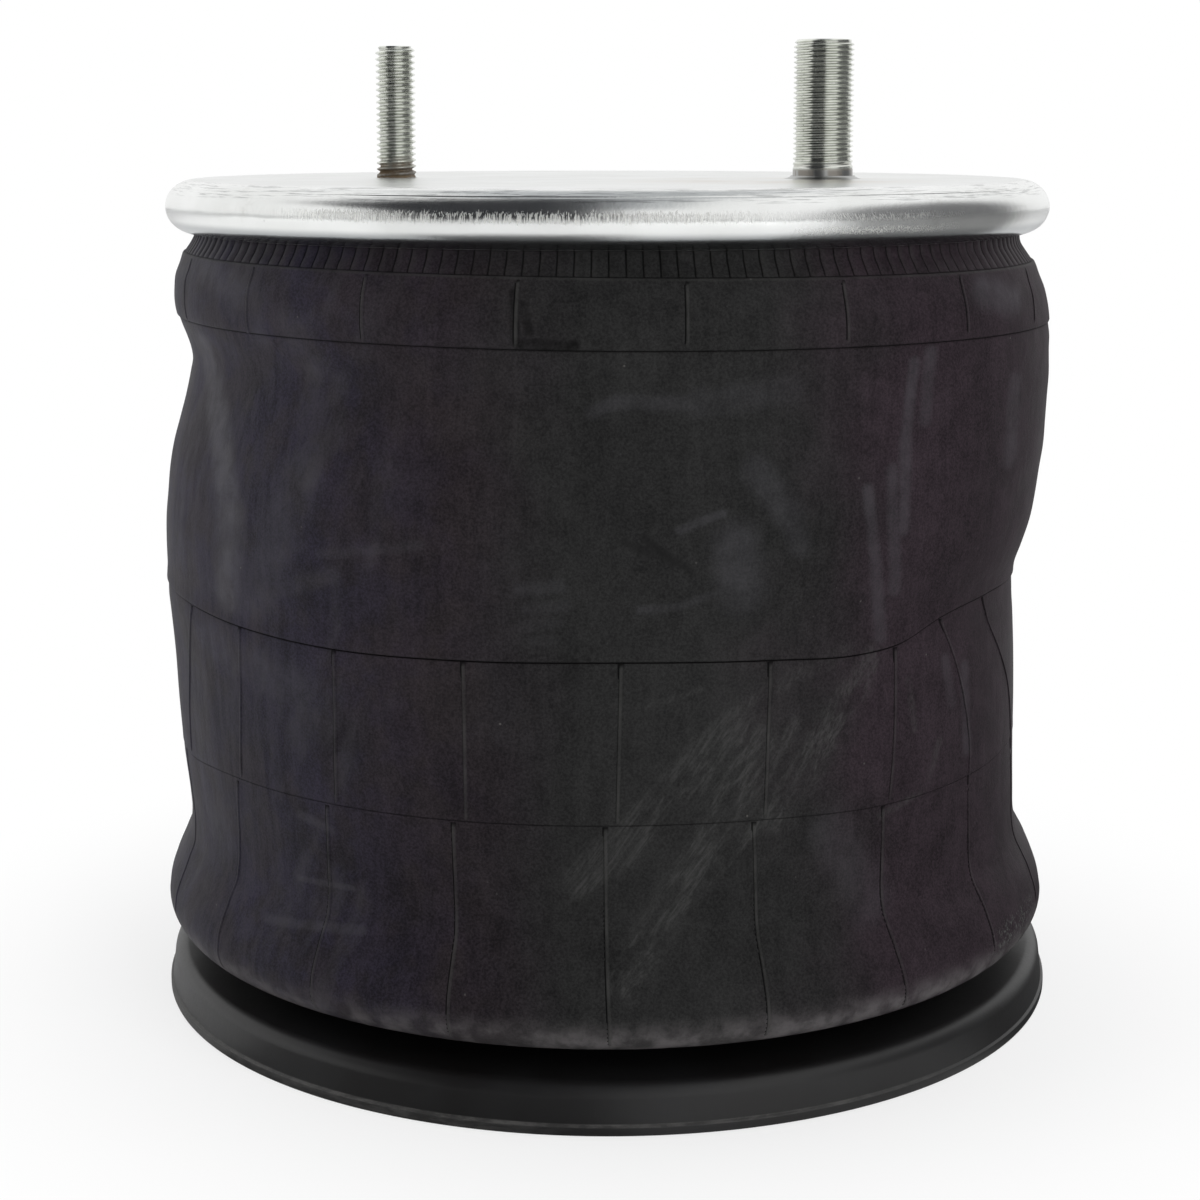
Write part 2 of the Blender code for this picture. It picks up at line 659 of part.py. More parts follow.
def build():
    clear_scene()
    rubber = material("black_rubber", (0.045, 0.043, 0.048), 0.72, 0.0)
    buffer_rubber = material("buffer_rubber", (0.03, 0.03, 0.03), 0.6, 0.0)
    composite = material("moulded_composite", (0.028, 0.028, 0.03), 0.45, 0.0)
    zinc = material("zinc_plate", (0.72, 0.72, 0.70), 0.32, 1.0)
    steel = material("zinc_steel", (0.62, 0.61, 0.57), 0.35, 1.0)
    weld = material("weld_metal", (0.35, 0.33, 0.31), 0.55, 1.0)
    wire = material("bead_wire", (0.50, 0.45, 0.36), 0.4, 1.0)

    piston = carrier("piston_carrier", 0.0)
    top_plate = carrier("top_plate_carrier", RIDE_HEIGHT)

    make_bead_plate(zinc, top_plate)
    make_studs(steel, weld, top_plate)
    make_ring(
        "upper_bead_ring", UPPER_BEAD_CENTRE[0], UPPER_BEAD_CENTRE[1] + BEAD_WIRE_RADIUS + GAP,
        BEAD_WIRE_RADIUS, SLEEVE_SIDES, wire, top_plate,
    )
    make_bellows(rubber, piston)
    make_ring(
        "lower_bead_ring", lower_wire_radius(), SEAT_Z + GAP + BEAD_WIRE_RADIUS,
        BEAD_WIRE_RADIUS, SLEEVE_SIDES, wire, piston,
    )
    make_piston(composite, piston)
    make_inserts(steel, piston)
    make_closure(steel, piston)
    make_ring(
        "closure_seal", SEAL_CIRCLE_RADIUS, SPIGOT_TOP - SEAL_SECTION_RADIUS,
        SEAL_SECTION_RADIUS, SLEEVE_SIDES, buffer_rubber, piston,
    )
    make_washer("bolt_washer", WASHER_BOTTOM, steel, piston)
    make_bolt(steel, piston)
    make_washer("nut_washer", NUT_SEAT - GAP - WASHER_THICKNESS, steel, piston)
    make_bump_stop(buffer_rubber, composite, piston)


build()
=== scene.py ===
"""Looks of a rolling-lobe air spring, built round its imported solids.

Metres, +Z up. Azimuths are in degrees from the front (-Y) towards the air stud (+X).
"""

import logging
import math
from collections.abc import Callable, Sequence
from dataclasses import dataclass, field
from enum import Enum

import bmesh
import bpy
import numpy as np
from mathutils import Matrix, Vector


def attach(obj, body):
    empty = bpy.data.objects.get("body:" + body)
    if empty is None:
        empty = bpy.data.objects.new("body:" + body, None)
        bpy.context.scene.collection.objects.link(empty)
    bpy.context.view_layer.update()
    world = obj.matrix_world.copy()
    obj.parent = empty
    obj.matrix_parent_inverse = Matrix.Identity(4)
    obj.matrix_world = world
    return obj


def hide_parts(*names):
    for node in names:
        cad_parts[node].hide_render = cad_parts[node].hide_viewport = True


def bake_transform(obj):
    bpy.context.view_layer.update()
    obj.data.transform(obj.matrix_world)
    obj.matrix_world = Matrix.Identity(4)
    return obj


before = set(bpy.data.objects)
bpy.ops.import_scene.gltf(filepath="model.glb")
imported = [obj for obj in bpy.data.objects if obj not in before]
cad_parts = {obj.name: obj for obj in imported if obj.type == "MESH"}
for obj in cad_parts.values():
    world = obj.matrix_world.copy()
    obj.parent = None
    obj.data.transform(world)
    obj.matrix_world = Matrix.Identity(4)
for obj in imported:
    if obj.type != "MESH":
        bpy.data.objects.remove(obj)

LOG = logging.getLogger("air_spring")
# Point mark for painted shade in grooves, seam lines, notches and thread roots.
REST = "rest_place"
# Point mark for painted highlight on seam ridges, flute ribs and the strip's top edge.
CREASE_SHADE = "crease_shade"
RIDGE_HIGHLIGHT = "ridge_highlight"
MM = 0.001
MOUNTING_STUD_AT = (-0.068456, 0.008648)
AIR_STUD_AT = (0.068456, -0.008648)
SHORT = 1e-7
CARVE_REACH = 1e-6
JOIN_REACH = 2e-6

Profile = list[tuple[float, float]]
Triple = tuple[float, float, float]
Stroke = tuple[float, float, float, float]
Smear = tuple[float, float, float, float, float, float]


class Body(Enum):
    """The moving bodies that pieces ride on."""

    PISTON = "piston"
    TOP_PLATE = "top_plate"


class Slot(Enum):
    """The material slots."""

    RUBBER = "black_rubber"
    BUFFER = "buffer_rubber"
    COMPOSITE = "moulded_composite"
    SHEET = "zinc_plate"
    STEEL = "zinc_steel"
    WELD = "weld_metal"
    WIRE = "bead_wire"


class Port:
    """A shader value that adds its own maths nodes when it is used in an expression."""

    def __init__(self, graph: "Graph", socket: bpy.types.NodeSocket) -> None:
        """Keep the node tree's builder and the output socket."""
        self.graph = graph
        self.socket = socket

    def maths(self, operation: str, *values: "Port | float") -> "Port":
        """Add a Math node.

        Args:
            operation: The node's operation.
            *values: What goes into its sockets, in order.

        Returns:
            The node's result.
        """
        return self.graph.node("ShaderNodeMath", {"operation": operation}, dict(enumerate(values)))

    def __add__(self, other: "Port | float") -> "Port":
        """Sum."""
        return self.maths("ADD", self, other)

    def __radd__(self, other: float) -> "Port":
        """Sum with the number first."""
        return self.maths("ADD", other, self)

    def __sub__(self, other: "Port | float") -> "Port":
        """Difference."""
        return self.maths("SUBTRACT", self, other)

    def __rsub__(self, other: float) -> "Port":
        """Difference from a number."""
        return self.maths("SUBTRACT", other, self)

    def __mul__(self, other: "Port | float") -> "Port":
        """Product."""
        return self.maths("MULTIPLY", self, other)

    def __rmul__(self, other: float) -> "Port":
        """Product with the number first."""
        return self.maths("MULTIPLY", other, self)

    def __truediv__(self, other: "Port | float") -> "Port":
        """Quotient."""
        return self.maths("DIVIDE", self, other)

    def __pow__(self, other: "Port | float") -> "Port":
        """Power."""
        return self.maths("POWER", self, other)

    def either(self, other: "Port | float") -> "Port":
        """The larger of the two."""
        return self.maths("MAXIMUM", self, other)

    def rise(self, low: float, high: float) -> "Port":
        """Smooth ramp over the value.

        Args:
            low: Where the ramp is 0.
            high: Where it is 1, which may lie below low.

        Returns:
            The ramp, held between 0 and 1.
        """
        swap = low > high
        ends = {"From Min": min(low, high), "From Max": max(low, high)}
        ends |= {"To Min": float(swap), "To Max": float(not swap)}
        return self.graph.node(
            "ShaderNodeMapRange", {"interpolation_type": "SMOOTHSTEP"}, {"Value": self, **ends}
        )


class Graph:
    """Builds one node tree."""

    def __init__(self, tree: bpy.types.NodeTree) -> None:
        """Empty the tree."""
        self.tree = tree
        tree.nodes.clear()

    def node(
        self,
        kind: str,
        settings: dict[str, object] | None = None,
        inputs: dict[str | int, object] | None = None,
        output: str | int = 0,
    ) -> Port:
        """Add a node.

        Args:
            kind: The node's type.
            settings: Properties of the node, set first.
            inputs: Values or ports by a socket's name, identifier or number.
            output: The output that is wanted.

        Returns:
            The output as a port.
        """
        made = self.tree.nodes.new(kind)
        for key, value in (settings or {}).items():
            setattr(made, key, value)
        for key, value in (inputs or {}).items():
            self._plug(self._find(made.inputs, key), value)
        return Port(self, self._find(made.outputs, output) if made.outputs else None)

    @staticmethod
    def _find(sockets: bpy.types.bpy_prop_collection, key: str | int) -> bpy.types.NodeSocket:
        """Find a socket.

        Args:
            sockets: A node's inputs or outputs.
            key: The socket's number, identifier or name.

        Returns:
            The socket.
        """
        if isinstance(key, int):
            return sockets[key]
        exact = [s for s in sockets if s.identifier == key]
        return (exact or [s for s in sockets if s.name == key])[0]

    def _plug(self, socket: bpy.types.NodeSocket, value: object) -> None:
        """Link a port to a socket, or set the socket's value.

        Args:
            socket: The input.
            value: A port, a number, or a colour without its alpha.
        """
        if isinstance(value, Port):
            self.tree.links.new(value.socket, socket)
        elif socket.type == "RGBA" and len(value) == 3:
            socket.default_value = (*value, 1.0)
        else:
            socket.default_value = value

    def mix(self, share: "Port | float", first: object, second: object) -> Port:
        """Blend two colours.

        Args:
            share: 0 gives the first, 1 the second.
            first: A colour or port.
            second: A colour or port.

        Returns:
            The blended colour.
        """
        wanted = {"Factor_Float": share, "A_Color": first, "B_Color": second}
        return self.node("ShaderNodeMix", {"data_type": "RGBA"}, wanted, "Result_Color")

    def layered(self, base: Port, *layers: tuple["Port | float", object]) -> Port:
        """Blend colours over a base, one after the other.

        Args:
            base: The colour at the bottom.
            *layers: (share, colour) pairs from the bottom up.

        Returns:
            The blended colour.
        """
        for share, colour in layers:
            base = self.mix(share, base, colour)
        return base

    def mark(self, name: str) -> Port:
        """A number that the mesh keeps for each point."""
        return self.node("ShaderNodeAttribute", {"attribute_name": name}, None, "Fac")

    def stretched(self, place: Port, scale: Triple, turn: float = 0.0) -> Port:
        """Coordinates with another scale on each axis.

        Args:
            place: The coordinates.
            scale: Factor for each axis.
            turn: Degrees that they are first turned about Y.

        Returns:
            The new coordinates.
        """
        turned = (0.0, math.radians(turn), 0.0)
        rotated = self.node("ShaderNodeMapping", None, {"Vector": place, "Rotation": turned})
        return self.node("ShaderNodeMapping", None, {"Vector": rotated, "Scale": scale})

    def noise(self, place: Port, size: float, detail: float = 3.0, rough: float = 0.55) -> Port:
        """Noise with features of a given size.

        Args:
            place: The coordinates.
            size: The features' size in metres.
            detail: Octaves.
            rough: Share of each finer octave.

        Returns:
            The noise, about 0.5 on average.
        """
        wanted = {"Vector": place, "Scale": 1.0 / size, "Detail": detail, "Roughness": rough}
        return self.node("ShaderNodeTexNoise", None, wanted)

    def specks(self, place: Port, spacing: float, radius: float) -> Port:
        """Scattered round specks.

        Args:
            place: The coordinates.
            spacing: Mean distance between specks, in metres.
            radius: A speck's radius as a share of the spacing.

        Returns:
            1 in a speck and 0 outside.
        """
        wanted = {"Vector": place, "Scale": 1.0 / spacing}
        return self.node("ShaderNodeTexVoronoi", None, wanted).rise(radius, radius * 0.4)

    def axes(self, place: Port) -> tuple[Port, Port, Port]:
        """Take a vector apart.

        Args:
            place: The vector.

        Returns:
            Its x, y and z.
        """
        split = self.node("ShaderNodeSeparateXYZ", None, {0: place})
        parts = split.socket.node.outputs
        return Port(self, parts[0]), Port(self, parts[1]), Port(self, parts[2])

    def vector(self, operation: str, *values: object, output: int = 0) -> Port:
        """Add a Vector Math node.

        Args:
            operation: The node's operation.
            *values: What goes into its sockets, in order.
            output: 0 for a vector and 1 for a number.

        Returns:
            The node's result.
        """
        settings = {"operation": operation}
        return self.node("ShaderNodeVectorMath", settings, dict(enumerate(values)), output)

    def near(self, place: Port, point: Triple, reach: float) -> Port:
        """1 at a point, fading to 0 at the given distance in metres."""
        return self.vector("DISTANCE", place, point, output=1).rise(reach, reach * 0.25)

    def stroke(self, place: Port, ends: "Stroke", width: float) -> Port:
        """A straight stroke, seen along Y.

        Args:
            place: The coordinates with Y left out.
            ends: X and Z of the stroke's start and end, in millimetres.
            width: Distance in metres at which it has faded out.

        Returns:
            1 on the stroke and 0 away from it.
        """
        start = (ends[0] * MM, 0.0, ends[1] * MM)
        span = Vector(((ends[2] - ends[0]) * MM, 0.0, (ends[3] - ends[1]) * MM))
        offset = self.vector("SUBTRACT", place, start)
        share = self.vector("DOT_PRODUCT", offset, tuple(span / span.length_squared), output=1)
        held = self.node("ShaderNodeClamp", None, {"Value": share})
        foot = self.node(
            "ShaderNodeVectorMath", {"operation": "SCALE"}, {0: tuple(span), "Scale": held}
        )
        away = self.vector("DISTANCE", offset, foot, output=1)
        return away.rise(width, width * 0.2)


@dataclass(frozen=True)
class Finish:
    """A surface finish. Each kind says how its nodes change over the surface."""

    name: str
    slot: Slot

    def paint(self, graph: Graph, place: Port) -> dict[str, object]:
        """Values and ports for the surface shader's sockets.

        Args:
            graph: The material's nodes.
            place: The coordinates.

        Returns:
            What goes into each socket, by its name.
        """
        raise NotImplementedError

    def coordinates(self, graph: Graph) -> Port:
        """Coordinates that stay with the piece."""
        return graph.node("ShaderNodeTexCoord", None, None, "Object")

    def bump(self, graph: Graph, height: Port) -> Port:
        """A normal from a height in millimetres."""
        wanted = {"Strength": 1.0, "Distance": MM, "Height": height}
        return graph.node("ShaderNodeBump", None, wanted)

    def material(self) -> bpy.types.Material:
        """Make the material once and hand out the same one afterwards.

        Returns:
            The material.
        """
        made = bpy.data.materials.get(self.name)
        if made is not None:
            return made
        made = bpy.data.materials.new(self.name)
        made.use_nodes = True
        graph = Graph(made.node_tree)
        sockets = self.paint(graph, self.coordinates(graph))
        shader = graph.node("ShaderNodeBsdfPrincipled", None, sockets)
        graph.node("ShaderNodeOutputMaterial", None, {"Surface": shader})
        return made

    def dress(self, obj: bpy.types.Object) -> bpy.types.Object:
        """Put the finish on an object's material slots.

        Args:
            obj: The piece.

        Returns:
            The same piece.
        """
        if not obj.material_slots:
            obj.data.materials.append(None)
        for holder in obj.material_slots:
            holder.link = "OBJECT"
            holder.material = self.material()
        return obj


@dataclass(frozen=True)
class MouldedRubber(Finish):
    """Chalky black rubber with bloom, mould streaks and scuffs; painted shade in its creases, painted
    highlights on its ridges and left edge, and painted floor light under the lobe.
    """

    dark: Triple = (0.0062, 0.0062, 0.0062)
    light: Triple = (0.0250, 0.0250, 0.0248)
    # Cement smudges, and painted shade in creases, seam lines and flute grooves.
    soot_and_crease_shade: Triple = (0.0010, 0.0010, 0.0010)
    # Chalk bloom, smears and dust; the bloom band also paints sheen along the left edge.
    chalk_and_sheen: Triple = (0.0560, 0.0530, 0.0600)
    scuff: Triple = (0.0700, 0.0700, 0.0685)
    # Painted highlight on seam ridges, flute ribs and the strip's top edge.
    ridge: Triple = (0.0440, 0.0440, 0.0420)
    pale: Triple = (0.0800, 0.0780, 0.0880)
    # Chalk under the lobe, painted lighter for light from the floor on its underside.
    lobe_chalk_and_floor_light: Triple = (0.1150, 0.1070, 0.1090)
    purple: Triple = (1.36, 0.95, 1.22)
    plum: Triple = (1.26, 0.96, 1.24)
    violet: Triple = (1.13, 0.97, 1.72)
    warm: Triple = (1.24, 0.98, 1.02)
    grit: Triple = (0.110, 0.105, 0.100)
    rolled_top: float = 0.0345
    rubbed: Triple = (0.036, -0.132, 0.083)
    rubbed_reach: float = 0.078
    peeled: Triple = (0.1262, -0.0640, 0.0290)
    smudges: tuple[Stroke, ...] = (
        (-24.2, 218.6, -9.0, 218.3), (-25.2, 232.0, -24.6, 219.0), (-22.6, 229.0, -21.2, 222.0),
    )
    # Chalky marks; the first three also paint a highlight along the fold on the left.
    hazes_and_left_highlight: tuple[Smear, ...] = (
        (-121.0, 211.0, -115.0, 193.0, 5.5, 0.54), (-115.0, 193.0, -109.5, 166.0, 6.5, 0.70),
        (-109.5, 166.0, -110.5, 140.0, 7.5, 0.56), (-86.0, 178.0, -103.0, 141.0, 10.0, 0.22),
        (-117.0, 125.0, -88.0, 117.6, 10.0, 0.24), (-89.0, 222.0, -83.0, 211.0, 7.0, 0.20),
        (-96.0, 145.0, -77.0, 152.4, 4.0, 0.18), (-80.2, 158.0, -51.4, 163.2, 2.4, 0.14),
        (-117.0, 234.0, -101.7, 227.2, 7.0, 0.26), (-101.7, 227.2, -98.3, 216.0, 5.0, 0.20),
        (-104.0, 152.0, -86.0, 160.0, 3.0, 0.16), (-23.9, 152.4, -13.2, 153.6, 3.0, 0.15),
        (-22.0, 146.8, -12.1, 147.9, 3.0, 0.12), (-23.2, 142.0, -14.0, 143.2, 3.0, 0.11),
        (-20.1, 137.6, -15.3, 138.4, 3.0, 0.08), (85.0, 211.0, 82.7, 189.6, 2.6, 0.30),
        (82.7, 189.6, 82.6, 164.0, 3.0, 0.26), (90.0, 213.6, 88.5, 194.4, 3.0, 0.22),
        (71.5, 177.0, 74.3, 156.4, 2.6, 0.26), (74.3, 156.4, 77.2, 133.0, 3.0, 0.22),
        (78.8, 181.6, 80.8, 146.4, 3.0, 0.24), (34.2, 164.0, 36.3, 151.2, 10.0, 0.26),
        (39.8, 184.4, 49.1, 171.6, 6.5, 0.20), (49.1, 171.6, 52.1, 162.8, 5.0, 0.18),
        (24.4, 202.4, 49.1, 206.0, 6.0, 0.14), (-4.3, 200.4, 2.4, 203.2, 3.0, 0.20),
        (2.4, 203.2, 24.4, 202.4, 3.4, 0.16), (8.7, 146.8, 19.2, 147.6, 2.0, 0.16),
        (19.2, 147.6, 31.6, 151.6, 2.0, 0.16), (19.0, 168.8, 30.5, 172.8, 2.0, 0.22),
        (-89.4, 60.0, -72.7, 61.2, 1.4, 0.28), (-99.8, 46.0, -69.8, 50.0, 2.0, 0.24),
        (-88.4, 80.0, -79.1, 77.6, 2.2, 0.24), (62.6, 79.6, 75.0, 56.4, 10.0, 0.14),
        (108.4, 229.2, 117.7, 225.6, 7.0, 0.34), (119.8, 202.0, 118.7, 178.4, 4.0, 0.20),
        (105.5, 118.0, 107.0, 92.0, 2.4, 0.20), (98.5, 122.0, 101.0, 108.0, 2.4, 0.16),
    )
    rubs: tuple[Smear, ...] = (
        (74.0, 126.0, 59.8, 106.0, 8.0, 0.40), (59.8, 106.0, 47.4, 86.0, 7.5, 0.56),
        (40.8, 106.0, 31.3, 86.4, 9.0, 0.60), (31.3, 86.4, 5.0, 43.0, 8.0, 0.50),
        (41.0, 84.0, 20.5, 61.0, 2.6, 0.60), (36.0, 112.0, -6.0, 71.0, 9.5, 0.50),
        (24.0, 80.0, 12.0, 58.0, 3.0, 0.50), (52.0, 112.0, 30.0, 74.0, 3.0, 0.36),
        (8.6, 119.2, 25.0, 123.6, 1.4, 0.24), (40.0, 120.4, 37.7, 113.6, 1.6, 0.44),
        (44.4, 122.0, 67.7, 130.4, 4.0, 0.20), (97.0, 98.4, 92.1, 84.8, 1.8, 0.28),
        (92.1, 84.8, 77.9, 80.8, 1.8, 0.28), (86.0, 118.8, 88.7, 103.6, 1.6, 0.26),
    )
    dark_marks: tuple[Stroke, ...] = (
        (4.4, 165.6, 11.7, 162.0), (9.8, 166.4, 17.0, 159.6), (12.2, 164.8, 21.8, 157.6),
    )

    def coordinates(self, graph: Graph) -> Port:
        """Places at rest, so that the pattern bends with the rubber."""
        return graph.node("ShaderNodeAttribute", {"attribute_name": REST}, None, "Vector")

    def paint(self, graph: Graph, place: Port) -> dict[str, object]:
        """Charcoal, violet on the left and purple on the right, scuffed and chalky in places.

        Args:
            graph: The material's nodes.
            place: The coordinates.

        Returns:
            What goes into each socket, by its name.
        """
        crease_shade, ridge_highlight = graph.mark(CREASE_SHADE), graph.mark(RIDGE_HIGHLIGHT)
        x, y, z = graph.axes(place)
        patches = graph.noise(place, 0.040, 5.0, 0.62).rise(0.34, 0.68)
        mottle = graph.noise(place, 0.009, 4.0, 0.65).rise(0.34, 0.68)
        grain = graph.noise(place, 0.0007, 3.0, 0.75)
        streaks = graph.noise(graph.stretched(place, (1.0, 1.0, 0.10)), 0.0034, 4.0, 0.7)
        scuffs = self.scuffs(graph, place, patches)
        flat = graph.stretched(place, (1.0, 0.0, 1.0))
        front = y.rise(0.02, -0.04)
        tone = patches * 0.27 + mottle * 0.24 + streaks.rise(0.30, 0.70) * 0.20
        blotches = (graph.noise(place, 0.019, 3.0, 0.6) - 0.5) * x.rise(-0.020, -0.060)
        tone = tone + grain.rise(0.34, 0.66) * 0.62 + blotches * 0.50 - 0.15
        rubber = graph.mix(tone, self.dark, self.light)
        rubber = graph.vector("MULTIPLY", rubber, self.tint(graph, place, front))
        # Band under the lobe: chalk, and painted light from the floor on the underside that faces
        # down.
        rolled = z.rise(self.rolled_top, self.rolled_top - 0.010) * (0.25 + 0.75 * mottle)
        rolled = rolled * (0.74 + 0.26 * x.rise(-0.065, -0.030))
        # Chalk bloom band along the left edge, which also paints the sheen that the left side catches.
        bloom = x.rise(-0.075, -0.105) * x.rise(-0.1330, -0.1220) * streaks.rise(0.36, 0.62)
        slant = graph.stretched(place, (1.0, 1.0, 0.30), -24.0)
        smears = graph.noise(slant, 0.013, 4.0, 0.62).rise(0.48, 0.70) * x.rise(-0.035, -0.085)
        dust = graph.noise(place, 0.0008, 2.0, 0.6).rise(0.62, 0.76) * mottle
        lines = graph.noise(graph.stretched(place, (1.0, 1.0, 0.045), -36.0), 0.0009, 4.0, 0.7)
        worn = graph.noise(graph.stretched(place, (1.0, 1.0, 0.35), -38.0), 0.0055, 3.0, 0.65)
        # Chalky marks, with a painted highlight along the fold on the left.
        chalky = self.marks(graph, flat, self.hazes_and_left_highlight) * (0.55 + 0.45 * mottle) * front
        rubbed = self.marks(graph, flat, self.rubs) * (0.22 + 0.78 * lines.rise(0.40, 0.66)) * front
        rubbed = rubbed * (0.12 + 0.88 * worn.rise(0.38, 0.58))
        specks = graph.specks(place, 0.0085, 0.050) * graph.noise(place, 0.02, 2.0).rise(0.48, 0.60)
        rubber = graph.layered(
            rubber,
            (rolled, self.lobe_chalk_and_floor_light),
            ((bloom * 0.18).either(smears * 0.34), self.chalk_and_sheen),
            (dust * 0.22, self.chalk_and_sheen),
            (chalky, self.pale),
            (rubbed, self.scuff),
            (scuffs.rise(0.0, 1.0), self.scuff),
            *((graph.stroke(flat, ends, 0.0018) * front * 0.5, self.dark) for ends in self.dark_marks),
            (specks * 0.7, self.grit),
            (self.stain(graph, flat) * front * 0.9, self.soot_and_crease_shade),
            # Painted highlight on ridges and edges.
            (ridge_highlight * (0.28 + 0.46 * mottle), self.ridge),
            # Painted shade in creases, seam lines and flute grooves.
            (crease_shade * 0.94, self.soot_and_crease_shade),
        )
        height = grain * 0.06 + streaks * 0.045 + patches * 0.10 + mottle * 0.05 - scuffs * 0.03
        return {
            "Base Color": rubber,
            "Roughness": 0.50 + 0.10 * patches + 0.10 * grain + 0.18 * crease_shade,
            "Normal": self.bump(graph, height),
            "Specular IOR Level": 0.11,
        }

    def tint(self, graph: Graph, place: Port, front: Port) -> Port:
        """Grey in the middle, purple on the right, plum and violet on the left.

        Args:
            graph: The material's nodes.
            place: The coordinates.
            front: 1 on the front and 0 at the back.

        Returns:
            The factor for each channel of the colour.
        """
        x, _, _ = graph.axes(place)
        across = x + (graph.noise(place, 0.040, 2.0) - 0.5) * 0.06
        hue = graph.noise(place, 0.016, 3.0, 0.6).rise(0.42, 0.60) * x.rise(-0.010, -0.050)
        tint = graph.mix(across.rise(0.035, 0.085), (1.0, 1.0, 1.0), self.purple)
        return graph.layered(
            tint,
            (across.rise(-0.004, -0.055), self.plum),
            (across.rise(-0.040, -0.095) * (0.35 + 0.65 * front), self.violet),
            (hue * 0.5, self.warm),
        )

    def scuffs(self, graph: Graph, place: Port, patches: Port) -> Port:
        """Slanting rub marks, strongest at the front right, and peeled skin on the lobe.

        Args:
            graph: The material's nodes.
            place: The coordinates.
            patches: Where the marks fade in elsewhere.

        Returns:
            0 where there are none and 1 in the strongest.
        """
        slanted = graph.stretched(place, (1.0, 1.0, 0.10), -46.0)
        broad = graph.noise(slanted, 0.0110, 3.0, 0.55).rise(0.45, 0.66)
        steeper = graph.stretched(place, (1.0, 1.0, 0.08), -34.0)
        fine = graph.noise(steeper, 0.0017, 4.0, 0.75).rise(0.56, 0.74)
        marked = graph.near(place, self.rubbed, self.rubbed_reach).either(patches * 0.22)
        skin = graph.noise(place, 0.0014, 5.0, 0.8).rise(0.53, 0.58)
        _, _, z = graph.axes(place)
        low = z.rise(0.0400, 0.0340)
        peeled = skin * graph.near(place, self.peeled, 0.034) * low
        return (broad * 0.10 + broad * fine * 0.26) * marked + peeled * 1.2

    @staticmethod
    def marks(graph: Graph, flat: Port, smears: Sequence[Smear]) -> Port:
        """Straight chalky marks, one over the other.

        Args:
            graph: The material's nodes.
            flat: The coordinates with Y left out.
            smears: Each mark's ends and width in millimetres, and its strength.

        Returns:
            How strongly each place is marked.
        """
        total = graph.stroke(flat, smears[0][:4], smears[0][4] * MM) * smears[0][5]
        for *ends, width, strength in smears[1:]:
            total = total.either(graph.stroke(flat, ends, width * MM) * strength)
        return total

    def stain(self, graph: Graph, flat: Port) -> Port:
        """Dark smudges of cement along the strip's lower edge and a joint.

        Args:
            graph: The material's nodes.
            flat: The coordinates with Y left out.

        Returns:
            How strongly each place is smudged.
        """
        ragged = graph.noise(flat, 0.0050, 5.0, 0.75).rise(0.40, 0.60)
        total = graph.stroke(flat, self.smudges[0], 0.0024)
        for ends in self.smudges[1:]:
            total = total.either(graph.stroke(flat, ends, 0.0022) * 0.7)
        return total * (0.45 + 0.55 * ragged)


